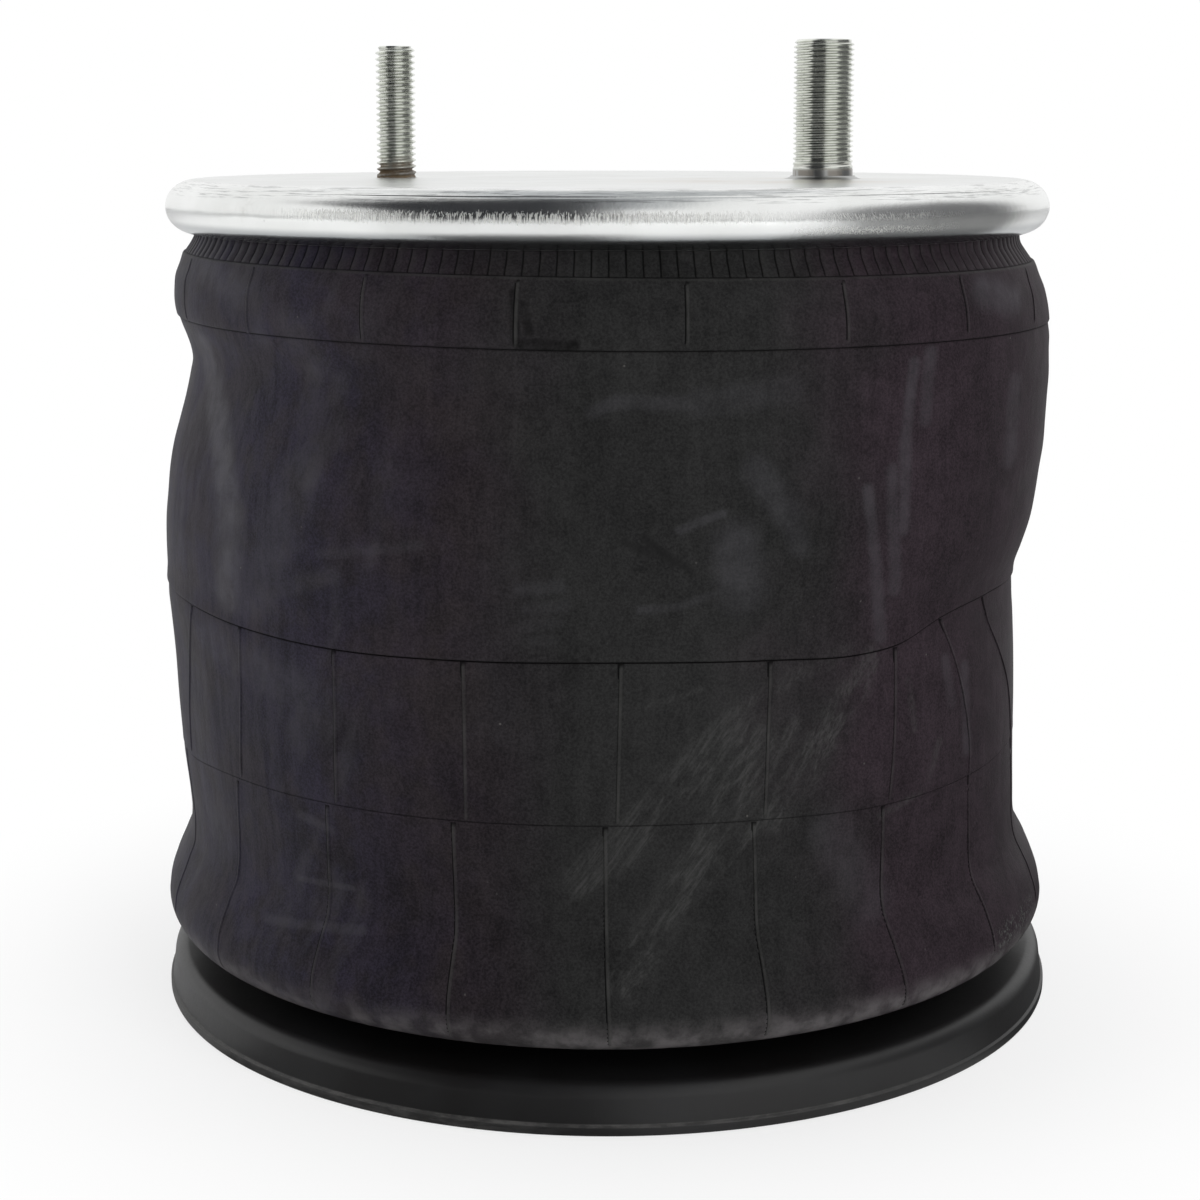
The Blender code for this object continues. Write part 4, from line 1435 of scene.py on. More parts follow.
@dataclass
class Bellows:
    """The rubber sleeve: fluted neck, strip, slack wall with its seams, and the lobe."""

    neck_top: float = 0.2461
    flute_top: float = 0.2432
    flute_bottom: float = 0.2360
    strip_bottom: float = 0.2169
    lean: float = 0.0014
    strip_proud: float = 0.00055
    flutes: int = 180
    flute_depth: float = 0.00055
    lobe_bottom: float = 0.0215
    lobe_fillet: float = 0.0100
    lobe_join: float = 0.1270
    thickness: float = 0.0052
    bead: tuple[float, float] = (0.1313, 0.2515)
    bead_radius: float = 0.0049
    fold: Triple = (-55.0, 3.4, 1.1)
    still: float = 0.045
    carried: float = 0.238
    sides: tuple[Triple, ...] = (
        (31.5, 144.0, 142.6), (36.4, 143.3, 141.7), (40.3, 141.9, 140.3), (44.1, 140.2, 138.7),
        (47.9, 138.6, 136.6), (51.7, 136.9, 134.6), (55.6, 136.4, 133.6), (59.6, 136.3, 133.2),
        (63.6, 136.6, 133.1), (79.6, 138.4, 132.7), (95.5, 139.6, 132.6), (111.0, 140.4, 132.2),
        (123.0, 141.4, 131.6), (130.8, 142.1, 131.1), (138.7, 142.2, 131.6), (146.5, 142.3, 134.2),
        (154.0, 142.1, 136.5), (162.0, 141.3, 137.9), (169.7, 140.5, 138.9), (177.3, 139.1, 140.0),
        (184.8, 137.0, 140.4), (192.4, 134.9, 140.8), (200.0, 133.2, 141.2), (203.8, 132.5, 141.1),
        (207.6, 133.0, 141.0), (211.4, 134.2, 141.0), (215.0, 135.6, 140.5), (218.9, 136.8, 140.1),
        (222.7, 137.3, 139.4), (226.4, 137.2, 138.4), (230.2, 136.8, 136.8), (233.9, 135.4, 135.4),
        (237.6, 134.1, 132.9), (240.0, 132.5, 131.4), (243.2, 131.0, 130.9), (246.1, 130.8, 130.8),
    )
    upper_seam: tuple[tuple[float, float], ...] = (
        (-180.0, 131.0), (-150.0, 131.6), (-120.0, 133.0), (-95.0, 134.0), (-78.0, 133.8),
        (-62.4, 133.4), (-49.4, 132.2), (-33.2, 131.2), (-16.6, 131.6), (1.4, 131.9),
        (19.2, 130.4), (32.4, 128.8), (38.2, 129.6), (46.8, 134.6), (58.6, 136.8),
        (75.0, 136.0), (95.0, 135.6), (120.0, 133.4), (150.0, 131.4),
    )
    lower_seam: tuple[tuple[float, float], ...] = (
        (-180.0, 84.5), (-120.0, 83.0), (-90.0, 82.0), (-68.6, 82.4), (-57.4, 84.4),
        (-41.0, 85.3), (-18.2, 85.9), (0.0, 86.0), (17.4, 85.3), (36.0, 83.6), (55.0, 84.0),
        (75.0, 84.8), (100.0, 85.0), (140.0, 84.4),
    )
    columns_of_flute: tuple[float, ...] = (-0.5, -0.085, 0.0, 0.085)
    swells: tuple[tuple[float, int, float, float], ...] = (
        (0.55, 2, 0.6, 0.012), (0.32, 3, -1.1, -0.021), (0.16, 5, 0.0, 0.035),
    )
    widest: float = 144.1
    seam_section: tuple[tuple[float, float, float, float], ...] = (
        (-1.05, -0.16, 0.0, 0.0), (-0.72, 0.02, 0.9, 0.0), (-0.46, 0.02, 1.0, 0.0),
        (-0.26, 0.85, 0.0, 0.7), (0.0, 1.0, 0.0, 1.0), (0.28, 0.95, 0.0, 0.8),
        (0.52, 0.55, 0.0, 0.4), (0.78, 0.08, 0.2, 0.0), (1.10, -0.16, 0.0, 0.0),
    )
    seam_row: float = 1.3
    seat: float = 0.1068
    run_top: float = 0.0850
    shoulder: float = 0.0123
    foot_bend: float = 0.0140

    def azimuths(self) -> np.ndarray:
        """Columns: each flute has its groove's middle and sides, and its own middle.

        Returns:
            Azimuths in degrees.
        """
        pitch = 360.0 / self.flutes
        starts = np.arange(self.flutes)[:, None] * pitch
        return (starts + np.array(self.columns_of_flute)[None, :] * pitch).ravel()

    def wall(self, azimuth: np.ndarray, height: np.ndarray) -> np.ndarray:
        """Radius of the slack wall without its seams and flutes.

        Args:
            azimuth: Degrees from the front.
            height: Z in metres.

        Returns:
            Radii in metres.
        """
        level = height / MM
        left = smooth_curve([(z, out) for z, out, _ in self.sides], level)
        right = smooth_curve([(z, out) for z, _, out in self.sides], level)
        angle = np.radians(azimuth)
        radius = (left + right) / 2 + (right - left) / 2 * np.sin(angle)
        slack = np.clip((level - 50.0) / 30.0, 0, 1) * np.clip((232.0 - level) / 25.0, 0, 1)
        swell = sum(
            size * np.sin(waves * angle + lag + level * twist)
            for size, waves, lag, twist in self.swells
        )
        crown, spread, rise = self.fold
        along = np.sin(np.pi * np.clip((level - 125.0) / 85.0, 0, 1))
        ridge = rise * np.exp(-(((azimuth - crown) / spread) ** 2)) * along
        slackened = radius + swell * slack * np.cos(angle) ** 2 + ridge
        return np.minimum(slackened, self.widest) * MM

    def levels(
        self, azimuth: np.ndarray
    ) -> tuple[np.ndarray, np.ndarray, np.ndarray, np.ndarray]:
        """Rows of the outer wall from the neck to the lobe's widest place.

        Args:
            azimuth: The columns' azimuths.

        Returns:
            Heights, radial steps, painted crease shade and painted highlight marks, each rows by
            columns.
        """
        flat = np.zeros_like(azimuth)
        upper = round_curve(self.upper_seam, azimuth) * MM
        lower = round_curve(self.lower_seam, azimuth) * MM
        proud = self.strip_proud
        lean = np.sin(np.radians(azimuth)) * self.lean
        top = self.flute_bottom - lean
        foot = self.strip_bottom - lean * 0.7
        # Each stop: height, radial step, mark and rows; a positive mark is painted shade in a seam's
        # groove, a negative one painted highlight on an edge.
        stops = [
            (flat + self.neck_top, 0.0, 0.0, 3),
            (flat + self.flute_top, 0.0, 0.0, 10),
            (top + 0.00035, 0.0, 0.0, 1),
            (top, 0.0, 0.75, 1),
            (top - 0.00012, proud * 0.85, -0.9, 1),
            (top - 0.0005, proud, -0.5, 1),
            (top - 0.0009, proud, 0.0, 13),
            (foot + 0.0004, proud, 0.0, 1),
            (foot + 0.00012, proud * 0.8, 0.1, 1),
            (foot - 0.00012, -0.00012, 1.0, 1),
            (foot - 0.00035, -0.00004, 0.3, 1),
            (foot - 0.0008, 0.0, 0.0, 52),
            (upper + 0.0050, 0.0, 0.0, 5),
            (upper + 0.00050, 0.00030, 0.0, 1),
            (upper + 0.00020, 0.00020, 0.5, 1),
            (upper, -0.00045, 1.0, 1),
            (upper - 0.00020, -0.00030, 0.9, 1),
            (upper - 0.00045, -0.00022, 0.0, 5),
            (upper - 0.0050, 0.0, 0.0, 28),
            (lower + 0.0030, 0.0, 0.0, 4),
            (lower + 0.00040, 0.00008, 0.0, 1),
            (lower + 0.00016, 0.00005, 0.2, 1),
            (lower, -0.00018, 0.75, 1),
            (lower - 0.00016, -0.00008, 0.2, 1),
            (lower - 0.0004, -0.00006, 0.0, 4),
            (lower - 0.0035, 0.0, 0.0, 36),
            (flat + self.lobe_bottom + self.lobe_fillet, 0.0, 0.0, 0),
        ]
        heights, steps, marks = [], [], []
        for (first, lift, mark, count), (second, lift_after, mark_after, _) in zip(stops, stops[1:]):
            for share in np.arange(count) / count:
                heights.append(first + share * (second - first))
                steps.append(flat + lift + share * (lift_after - lift))
                marks.append(flat + mark + share * (mark_after - mark))
        heights.append(stops[-1][0])
        steps.append(flat)
        marks.append(flat)
        both = np.array(marks)
        return np.array(heights), np.array(steps), np.maximum(both, 0), np.maximum(-both, 0)

    def outer(self) -> bpy.types.Object:
        """The wall outside, with the bead inside the rim and the air side behind it.

        Returns:
            The piece.
        """
        azimuth = self.azimuths()
        height, lift, crease_shade, ridge_highlight = self.levels(azimuth)
        radius = self.wall(azimuth[None, :], height) + lift
        groove = np.tile(np.array([0.0, 0.0, 1.0, 0.0]), self.flutes)[None, :]
        strip_top = self.flute_bottom - self.lean * np.sin(np.radians(azimuth))
        fluted = np.clip((self.flute_top + 0.0012 - height) / 0.0012, 0, 1) * np.clip(
            (height - strip_top) / 0.0003, 0, 1
        )
        uneven = 0.75 + 0.25 * np.sin(azimuth * 3.1)[None, :]
        radius = radius - self.flute_depth * groove * fluted * uneven
        # Painted shade in the flute grooves and painted highlight on the flutes' edges.
        crease_shade = np.maximum(crease_shade, groove * fluted)
        edge = np.tile(np.array([0.0, 0.0, 0.0, 1.0]), self.flutes)[None, :]
        ridge_highlight = np.maximum(ridge_highlight, edge * fluted * 0.35)
        flat = np.zeros_like(azimuth)
        rows = list(zip(radius, height, crease_shade))
        for angle in np.radians(np.linspace(0.0, 90.0, 15))[1:]:
            drop = flat + self.lobe_bottom + self.lobe_fillet * (1 - math.sin(angle))
            rows.append((radius[-1] - self.lobe_fillet * (1 - math.cos(angle)), drop, flat))
        for share in (0.5, 1.0):
            last = rows[-1][0]
            rows.append((last + share * (self.lobe_join - last), flat + self.lobe_bottom, flat))
        inside_low = self.lobe_bottom + self.thickness
        rows.append((flat + self.lobe_join, flat + inside_low, flat))
        for z in np.linspace(inside_low + 0.006, 0.240, 24):
            rows.append((self.wall(azimuth, flat + z) - self.thickness, flat + z, flat))
        for r, z in arc(self.bead, self.bead_radius, 235.0, -50.0, 18):
            rows.append((flat + r, flat + z, flat))
        radii, heights, crease_shading = (np.array(part) for part in zip(*rows))
        places = on_circle(azimuth[None, :], radii, heights)
        high = np.zeros(places.shape[:2])
        high[: len(ridge_highlight)] = ridge_highlight
        marks = {CREASE_SHADE: crease_shading, RIDGE_HIGHLIGHT: high}
        mesh = grid("bellows_wall", places, True, True, marks)
        tidy(mesh, 0.0)
        return self.finish(link("bellows_wall", mesh, 50.0))

    def finish(self, obj: bpy.types.Object) -> bpy.types.Object:
        """Dress a piece of the wall and keep its places at rest.

        Args:
            obj: The piece.

        Returns:
            The same piece.
        """
        keep_rest(obj)
        RUBBER.dress(obj)
        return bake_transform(obj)

    def seam_lines(self) -> list[tuple[Sequence[tuple[float, float]], float]]:
        """The upright seams, each as (height in mm, azimuth) points and its height in mm.

        Returns:
            The lines from bottom to top, with how far each stands out.
        """
        strip = [(-67.3, -68.2), (-48.2, -48.3), (-29.0, -29.3), (-10.3, -10.3), (8.6, 8.8),
                 (27.8, 28.0), (46.7, 47.2), (65.2, 67.6)]
        strip += [(a, a) for a in np.arange(84.5, 280.0, 18.9)]
        lines = [(((217.5, low), (235.4 - 1.5 * math.sin(math.radians(low)), high)), 0.24)
                 for low, high in strip]
        middle = [
            ((83.0, -69.0), (101.0, -67.4), (114.5, -65.6), (133.0, -62.4)),
            ((85.2, -51.6), (111.6, -50.4), (131.9, -49.4)),
            ((85.6, -33.9), (130.9, -33.2)),
            ((86.0, -16.6), (131.3, -16.6)),
            ((86.3, 1.0), (131.6, 1.4)),
            ((85.6, 18.8), (130.0, 19.3)),
            ((84.0, 37.0), (98.4, 37.6), (129.0, 37.9)),
            ((80.0, 54.0), (91.6, 54.2), (106.4, 52.8), (122.8, 49.8), (134.2, 46.8)),
            ((80.0, 74.0), (88.4, 73.2), (104.0, 70.2), (115.6, 65.8), (127.6, 60.8), (136.3, 58.4)),
        ]
        middle += [((85.2, a + 0.8), (130.9, a)) for a in np.arange(91.0, 280.0, 18.0)]
        lines += [(line, 0.30) for line in middle]
        lower = [
            ((30.0, -71.0), (46.4, -72.0), (57.6, -73.2), (82.0, -73.5)),
            ((25.0, -54.2), (50.8, -54.6), (68.8, -53.6), (83.9, -52.6)),
            ((24.0, -36.2), (60.0, -36.0), (84.9, -35.4)),
            ((24.0, -18.0), (55.0, -18.2), (85.4, -18.2)),
            ((24.0, 0.2), (50.0, -0.2), (85.7, -0.4)),
            ((24.0, 18.2), (47.6, 18.0), (84.9, 17.4)),
            ((24.5, 37.2), (43.2, 36.2), (83.4, 36.0)),
            ((30.0, 54.6), (60.0, 54.3), (80.0, 54.0)),
            ((32.0, 72.8), (52.4, 74.6), (65.6, 75.0), (80.0, 74.0)),
        ]
        lower += [((25.0, a), (55.0, a - 0.6), (83.8, a)) for a in np.arange(91.0, 280.0, 18.0)]
        lines += [(line, 0.26) for line in lower]
        return lines

    def lobe_radius(self, azimuth: np.ndarray, height: np.ndarray) -> np.ndarray:
        """Radius of the wall, also below the lobe's widest place.

        Args:
            azimuth: Degrees from the front.
            height: Z in metres.

        Returns:
            Radii in metres.
        """
        widest_height = self.lobe_bottom + self.lobe_fillet
        radius = self.wall(azimuth, np.maximum(height, widest_height))
        below = np.clip((widest_height - height) / self.lobe_fillet, 0, 1)
        return radius - self.lobe_fillet * (1 - np.sqrt(1 - below**2))

    def ridges(self) -> bpy.types.Object:
        """The seams' thin ridges, each with painted shade along its left side and a painted highlight
        on its top.

        Returns:
            The piece.
        """
        bm = bmesh.new()
        # Section columns: across, lift, painted shade and painted highlight.
        across, lift, dark, bright = (part[None, :] for part in np.array(self.seam_section).T)
        for line, stand in self.seam_lines():
            low, high = line[0][0], line[-1][0]
            rows = max(8, int((high - low) / self.seam_row))
            level = np.linspace(low, high, rows + 1)
            azimuth = smooth_curve(line, level) if len(line) > 2 else np.interp(
                level, [p[0] for p in line], [p[1] for p in line]
            )
            height = (level * MM)[:, None]
            over_strip = self.strip_proud if low > 200.0 else 0.0
            radius = self.lobe_radius(azimuth[:, None], height) + over_strip
            end = np.clip(np.minimum(level - low, high - level) / 1.2, 0, 1)[:, None]
            # Painted highlight, strongest towards the front where the ridges face the light.
            lit = np.clip(1.35 - np.abs(azimuth[:, None]) / 52.0, 0.15, 1)
            # Painted shade in the notch at each seam's top end.
            notch = np.clip(1.0 - (high - level) / 0.9, 0, 1)[:, None]
            rise = np.where(lift > 0, lift * stand * MM * end - 0.00004 * (1 - end), lift * MM)
            turned = azimuth[:, None] + np.degrees(across * MM / radius)
            places = on_circle(turned, radius + rise, height)
            crease_shading = np.maximum(dark * end, notch * (dark + bright > 0))
            part = grid("ridge", places, marks={CREASE_SHADE: crease_shading, RIDGE_HIGHLIGHT: bright * end * lit})
            bm.from_mesh(part)
            bpy.data.meshes.remove(part)
        bmesh.ops.holes_fill(bm, edges=bm.edges, sides=len(self.seam_section))
        bmesh.ops.recalc_face_normals(bm, faces=bm.faces)
        return self.finish(link("bellows_seams", new_mesh("bellows_seams", bm), 60.0))

    def inner(self) -> bpy.types.Object:
        """The sleeve's run up the piston's wall to the lower bead.

        Returns:
            The piece, which stays with the piston.
        """
        low, bend, thick = self.lobe_bottom, self.foot_bend, self.thickness
        foot = (self.seat + bend, low + bend)
        top = (self.seat - 0.002 - self.shoulder, self.run_top)
        wet = [(self.lobe_join, low)]
        wet += arc(foot, bend, -90.0, -180.0, 14)
        wet += arc(top, self.shoulder, 0.0, 90.0, 10)
        wet += [(0.0785, 0.0973), (0.0785, 0.1070), (0.0900, 0.1070)]
        dry = arc(top, self.shoulder + thick, 90.0, 0.0, 10)
        dry += arc(foot, bend - thick, -180.0, -90.0, 10)
        dry += [(self.lobe_join, low + thick)]
        sleeve = lathe("bellows_lobe", wet + dry, 240)
        for label in (CREASE_SHADE, RIDGE_HIGHLIGHT):
            sleeve.data.attributes.new(label, "FLOAT", "POINT")
        keep_rest(sleeve)
        RUBBER.dress(sleeve)
        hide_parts("bellows")
        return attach(sleeve, Body.PISTON.value)

    def build(self) -> list[bpy.types.Object]:
        """Make the three pieces of the sleeve.

        Returns:
            The wall, its seams and the lobe's run up the piston.
        """
        wall = self.outer()
        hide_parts("bellows")
        return [wall, self.ridges(), self.inner()]


@dataclass
class Piston:
    """The moulded piston: flared base, drafted wall, ribbed underside and insert bosses."""

    base: float = 0.1444
    lip_height: float = 0.0028
    lip_step: float = 0.0008
    flange_height: float = 0.0140
    flange_draft: float = 0.0008
    edge_fillet: float = 0.0045
    root_fillet: float = 0.0060
    wall: float = 0.1065
    draft: float = 0.0020
    shoulder: float = 0.0120
    seat: float = 0.0970
    spigot: float = 0.0780
    spigot_top: float = 0.1073
    seal_circle: float = 0.0610
    ring_width: float = 0.0180
    recess: float = 0.0010
    pockets: int = 8
    pocket_inner: float = 0.0330
    pocket_outer: float = 0.0970
    pocket_roof: float = 0.0640
    rib: float = 0.0056
    insert_circle: float = 0.0635
    insert_radius: float = 0.0095
    insert_length: float = 0.0252
    boss: float = 0.0143
    boss_length: float = 0.0340
    nut_recess: float = 0.0220
    nut_seat: float = 0.0556
    bolt_hole: float = 0.0099
    groove: float = 0.00275
    groove_depth: float = 0.0046
    corner_round: float = 0.0035
    roof_round: float = 0.0030
    fit: float = 0.0003
    plug_turn: float = 1.7
    plug_columns: int = 64
    sharp: float = 35.0
    columns: int = 288

    def profile(self) -> Profile:
        """Section from the crown down the wall, over the base's edge to the underside.

        Returns:
            The (radius, height) points.
        """
        top, seat, groove = self.spigot_top, self.seat, self.groove
        floor = top - self.groove_depth
        crown = [
            (self.bolt_hole, top),
            (self.seal_circle - groove, top),
            (self.seal_circle - groove, floor),
            (self.seal_circle + groove, floor),
            (self.seal_circle + groove, top),
            (self.spigot - 0.0005, top),
            (self.spigot, top - 0.0005),
            (self.spigot, seat),
        ]
        wall_top = self.wall - self.draft
        shoulder = arc((wall_top - self.shoulder, seat - self.shoulder), self.shoulder, 90, 0, 12)
        root_centre = (self.wall + self.root_fillet, self.flange_height + self.root_fillet)
        root = arc(root_centre, self.root_fillet, 180, 270, 10)
        side = self.base - self.lip_step
        edge_centre = (
            side - self.flange_draft - self.edge_fillet, self.flange_height - self.edge_fillet
        )
        edge = arc(edge_centre, self.edge_fillet, 90, 0, 14)
        lip = self.lip_height
        foot = [
            (side - 0.00004, lip + 0.0006),
            (side, lip + 0.00025),
            (side + 0.0003, lip + 0.00002),
            (self.base - 0.00025, lip - 0.00005),
            (self.base - 0.00005, lip - 0.00025),
            (self.base, lip - 0.0006),
            (self.base, 0.0005),
            (self.base - 0.00015, 0.00012),
            (self.base - 0.0005, 0.0),
            (self.base - self.ring_width, 0.0),
            (self.base - self.ring_width - 0.0004, self.recess),
            (self.bolt_hole, self.recess),
        ]
        return crown + shoulder + root + edge + foot

    def pocket(self, index: int) -> bpy.types.Object:
        """A pocket's cutter with rounded corners and a rounded roof.

        Args:
            index: Which pocket.

        Returns:
            The tool.
        """
        pitch = 2 * math.pi / self.pockets
        middle = pitch * (index + 0.5)
        outline = []
        for radius, steps, way in ((self.pocket_inner, 4, 1), (self.pocket_outer, 10, -1)):
            half = pitch / 2 - math.asin(self.rib / 2 / radius)
            for i in range(steps + 1):
                angle = middle - way * half * (1 - 2 * i / steps)
                outline.append((radius * math.cos(angle), radius * math.sin(angle)))
        corners = {0, 4, 5, 15}
        bm = bmesh.new()
        floor = [bm.verts.new((x, y, -MM)) for x, y in outline]
        roof = [bm.verts.new((x, y, self.pocket_roof)) for x, y in outline]
        count = len(outline)
        bm.faces.new(floor[::-1])
        bm.faces.new(roof)
        for i in range(count):
            j = (i + 1) % count
            bm.faces.new((floor[i], floor[j], roof[j], roof[i]))
        ends = [{floor[c], roof[c]} for c in corners]
        upright = [e for e in bm.edges if set(e.verts) in ends]
        rounding = {"affect": "EDGES", "clamp_overlap": True}
        bmesh.ops.bevel(bm, geom=upright, offset=self.corner_round, segments=4, **rounding)
        top = [e for e in bm.edges if all(abs(v.co.z - self.pocket_roof) < 1e-6 for v in e.verts)]
        bmesh.ops.bevel(bm, geom=top, offset=self.roof_round, segments=3, **rounding)
        bmesh.ops.recalc_face_normals(bm, faces=bm.faces)
        return link("pocket", new_mesh("pocket", bm))

    def insert_places(self) -> list[tuple[float, float]]:
        """Centres of the threaded inserts."""
        angles = [math.pi / 2 * i for i in range(4)]
        return [(self.insert_circle * math.cos(a), self.insert_circle * math.sin(a)) for a in angles]

    def plug(self, radius: float, low: float, high: float, x: float, y: float) -> bpy.types.Object:
        """A plain round tool, turned a little so that its corners meet no others.

        Args:
            radius: Its radius.
            low: Its bottom.
            high: Its top.
            x: X of its axis.
            y: Y of its axis.

        Returns:
            The tool.
        """
        profile = [(0.0, low), (radius, low), (radius, high), (0.0, high)]
        tool = lathe("plug", profile, self.plug_columns)
        tool.data.transform(Matrix.Rotation(math.radians(self.plug_turn), 4, "Z"))
        return shift_piece(tool, (x, y, 0.0))

    def build(self) -> bpy.types.Object:
        """Turn the piston, mould its underside and dress it.

        Returns:
            The piston.
        """
        body = lathe("piston_moulding", self.profile(), self.columns)
        for index in range(self.pockets):
            carve(body, self.pocket(index), "DIFFERENCE")
        for x, y in self.insert_places():
            carve(body, self.plug(self.boss, 0.0, self.boss_length, x, y), "UNION")
        for x, y in self.insert_places():
            reach, depth = self.insert_radius + self.fit, self.insert_length + self.fit
            carve(body, self.plug(reach, -MM, depth, x, y), "DIFFERENCE")
        carve(body, self.plug(self.nut_recess, -MM, self.nut_seat, 0.0, 0.0), "DIFFERENCE")
        reshade(body, self.sharp)
        NYLON.dress(body)
        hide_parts("piston_body")
        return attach(body, Body.PISTON.value)


@dataclass
class BaseInsert:
    """A threaded insert in the piston's underside."""

    number: int
    x: float
    y: float
    radius: float = 0.0095
    bore: float = 0.0054
    length: float = 0.0252
    pitch: float = 0.001954
    edge: float = 0.0004
    thread_low: float = 0.0006
    runout: float = 0.0012
    columns: int = 40

    def build(self) -> bpy.types.Object:
        """Make the insert with its inner thread and chamfered mouth.

        Returns:
            The insert.
        """
        low, high = self.thread_low, self.length - MM
        thread = Thread(
            self.bore, self.pitch, low, high, self.runout, inside=True, columns=self.columns
        )
        mouth = thread.end_radius
        shell = [
            (mouth, low),
            (mouth + self.edge, 0.0),
            (self.radius - self.edge, 0.0),
            (self.radius, self.edge),
            (self.radius, self.length),
            (0.0, self.length),
        ]
        name = f"threaded_insert_{self.number}"
        insert = threaded_piece(name, thread, [shell, [(self.bore, high), (0.0, high)]])
        shift_piece(insert, (self.x, self.y, 0.0))
        FITTINGS_ZINC.dress(insert)
        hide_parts(f"base_insert_{self.number}")
        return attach(insert, Body.PISTON.value)


@dataclass
class PistonFastener:
    """The bolt and nut that clamp the closure plate, seen in the piston's recess."""

    radius: float = 0.0095
    pitch: float = 0.0015875
    across_flats: float = 0.0286
    bolt_end: float = 0.0300
    nut_low: float = 0.0360
    nut_high: float = 0.0520
    head_low: float = 0.1152
    head_high: float = 0.1272
    thread_end: float = 0.0600
    chamfer_share: float = 0.985
    fit: float = 0.0002
    bore_columns: int = 64
    sharp: float = 25.0
    columns: int = 96

    def hexagon(
        self, name: str, low: float, high: float, cone_low: bool, hole: float = 0.0
    ) -> bpy.types.Mesh:
        """A hexagonal prism with a turned chamfer at its top.

        Args:
            name: The mesh's name.
            low: Bottom.
            high: Top.
            cone_low: Chamfer the bottom's corners too.
            hole: Radius left open in the bottom.

        Returns:
            The prism.
        """
        face = self.across_flats / 2
        angles = np.arange(self.columns) * 360.0 / self.columns
        side = face / np.cos(np.radians((angles + 30.0) % 60.0 - 30.0))
        turned = np.minimum(side, face * self.chamfer_share)
        drop = (side - turned) * math.tan(math.radians(30))
        low_drop = drop if cone_low else 0.0 * drop
        rows = [
            (hole + 0.0 * side, low + 0.0 * drop),
            (turned, low + 0.0 * drop),
            (side, low + low_drop),
            (side, high - drop),
            (turned, high + 0.0 * drop),
            (0.0 * side, high + 0.0 * drop),
        ]
        mesh = grid(name, np.array([on_circle(angles, *row) for row in rows]), True, False)
        tidy(mesh)
        return mesh

    def nut(self) -> bpy.types.Object:
        """The nut with its bore.

        Returns:
            The nut.
        """
        nut = link("closure_nut", self.hexagon("nut", self.nut_low, self.nut_high, True))
        reach, high = self.radius + self.fit, 0.1
        outline = [(0.0, 0.0), (reach, 0.0), (reach, high), (0.0, high)]
        carve(nut, lathe("bore", outline, self.bore_columns), "DIFFERENCE")
        reshade(nut, self.sharp)
        return nut

    def bolt(self) -> bpy.types.Object:
        """The bolt, made upside down and turned over, with its head joined on.

        Returns:
            The bolt.
        """
        tip, start = -self.bolt_end, -self.thread_end
        thread = Thread(self.radius, self.pitch, start, tip, columns=self.columns)
        point = [(thread.end_radius, tip), (0.0, tip)]
        bm = threaded_mesh(thread, [point, [(self.radius, start), (self.radius, -self.head_low)]])
        bm.transform(Matrix.Rotation(math.pi, 4, "X"))
        head = self.hexagon("head", self.head_low, self.head_high, False, self.radius)
        bm.from_mesh(head)
        bmesh.ops.remove_doubles(bm, verts=bm.verts, dist=JOIN_REACH)
        bmesh.ops.recalc_face_normals(bm, faces=bm.faces)
        bm.to_mesh(head)
        bm.free()
        return link("closure_bolt", head, 30.0)

    def build(self) -> list[bpy.types.Object]:
        """Make the nut, and the bolt with its threaded end.

        Returns:
            Both pieces.
        """
        pieces = [self.nut(), self.bolt()]
        for piece, node in zip(pieces, ("piston_nut", "piston_bolt")):
            FITTINGS_ZINC.dress(piece)
            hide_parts(node)
            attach(piece, Body.PISTON.value)
        return pieces


@dataclass
class InnerParts:
    """Solids that keep their own shape and get a finish."""

    finishes: dict[str, Finish] = field(
        default_factory=lambda: {
            "upper_bead_ring": WIRE,
            "lower_bead_ring": WIRE,
            "mounting_stud_weld": WELD,
            "air_stud_weld": WELD,
            "lower_bead_plate": FITTINGS_ZINC,
            "closure_seal": BUFFER,
            "bolt_washer": FITTINGS_ZINC,
            "nut_washer": FITTINGS_ZINC,
            "bump_stop": BUFFER,
            "bump_stop_ring": NYLON,
        }
    )

    def dress(self) -> int:
        """Give each solid its finish.

        Returns:
            How many there are.
        """
        for node, finish in self.finishes.items():
            finish.dress(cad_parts[node])
        return len(self.finishes)


@dataclass(frozen=True)
class Lamp:
    """A soft area lamp that the world's bright sides stand for in reflections."""

    name: str
    place: Triple
    size: tuple[float, float]
    power: float
    aim: Triple = (0.0, 0.0, 0.12)

    def build(self) -> None:
        """Add the lamp to the scene."""
        data = bpy.data.lights.new(self.name, "AREA")
        data.shape = "RECTANGLE"
        data.size, data.size_y = self.size
        data.energy = self.power
        obj = bpy.data.objects.new(self.name, data)
        obj.visible_glossy = False
        obj.location = self.place
        way = Vector(self.aim) - Vector(self.place)
        obj.rotation_euler = way.to_track_quat("-Z", "Y").to_euler()
        bpy.context.scene.collection.objects.link(obj)


LAMPS = (
    Lamp("key", (-1.35, -0.12, 0.80), (1.3, 1.3), 6.0),
    Lamp("fill", (0.85, -1.15, 0.72), (0.9, 1.0), 7.5),
    Lamp("top", (0.0, 0.25, 1.6), (1.4, 1.0), 7.0),
)


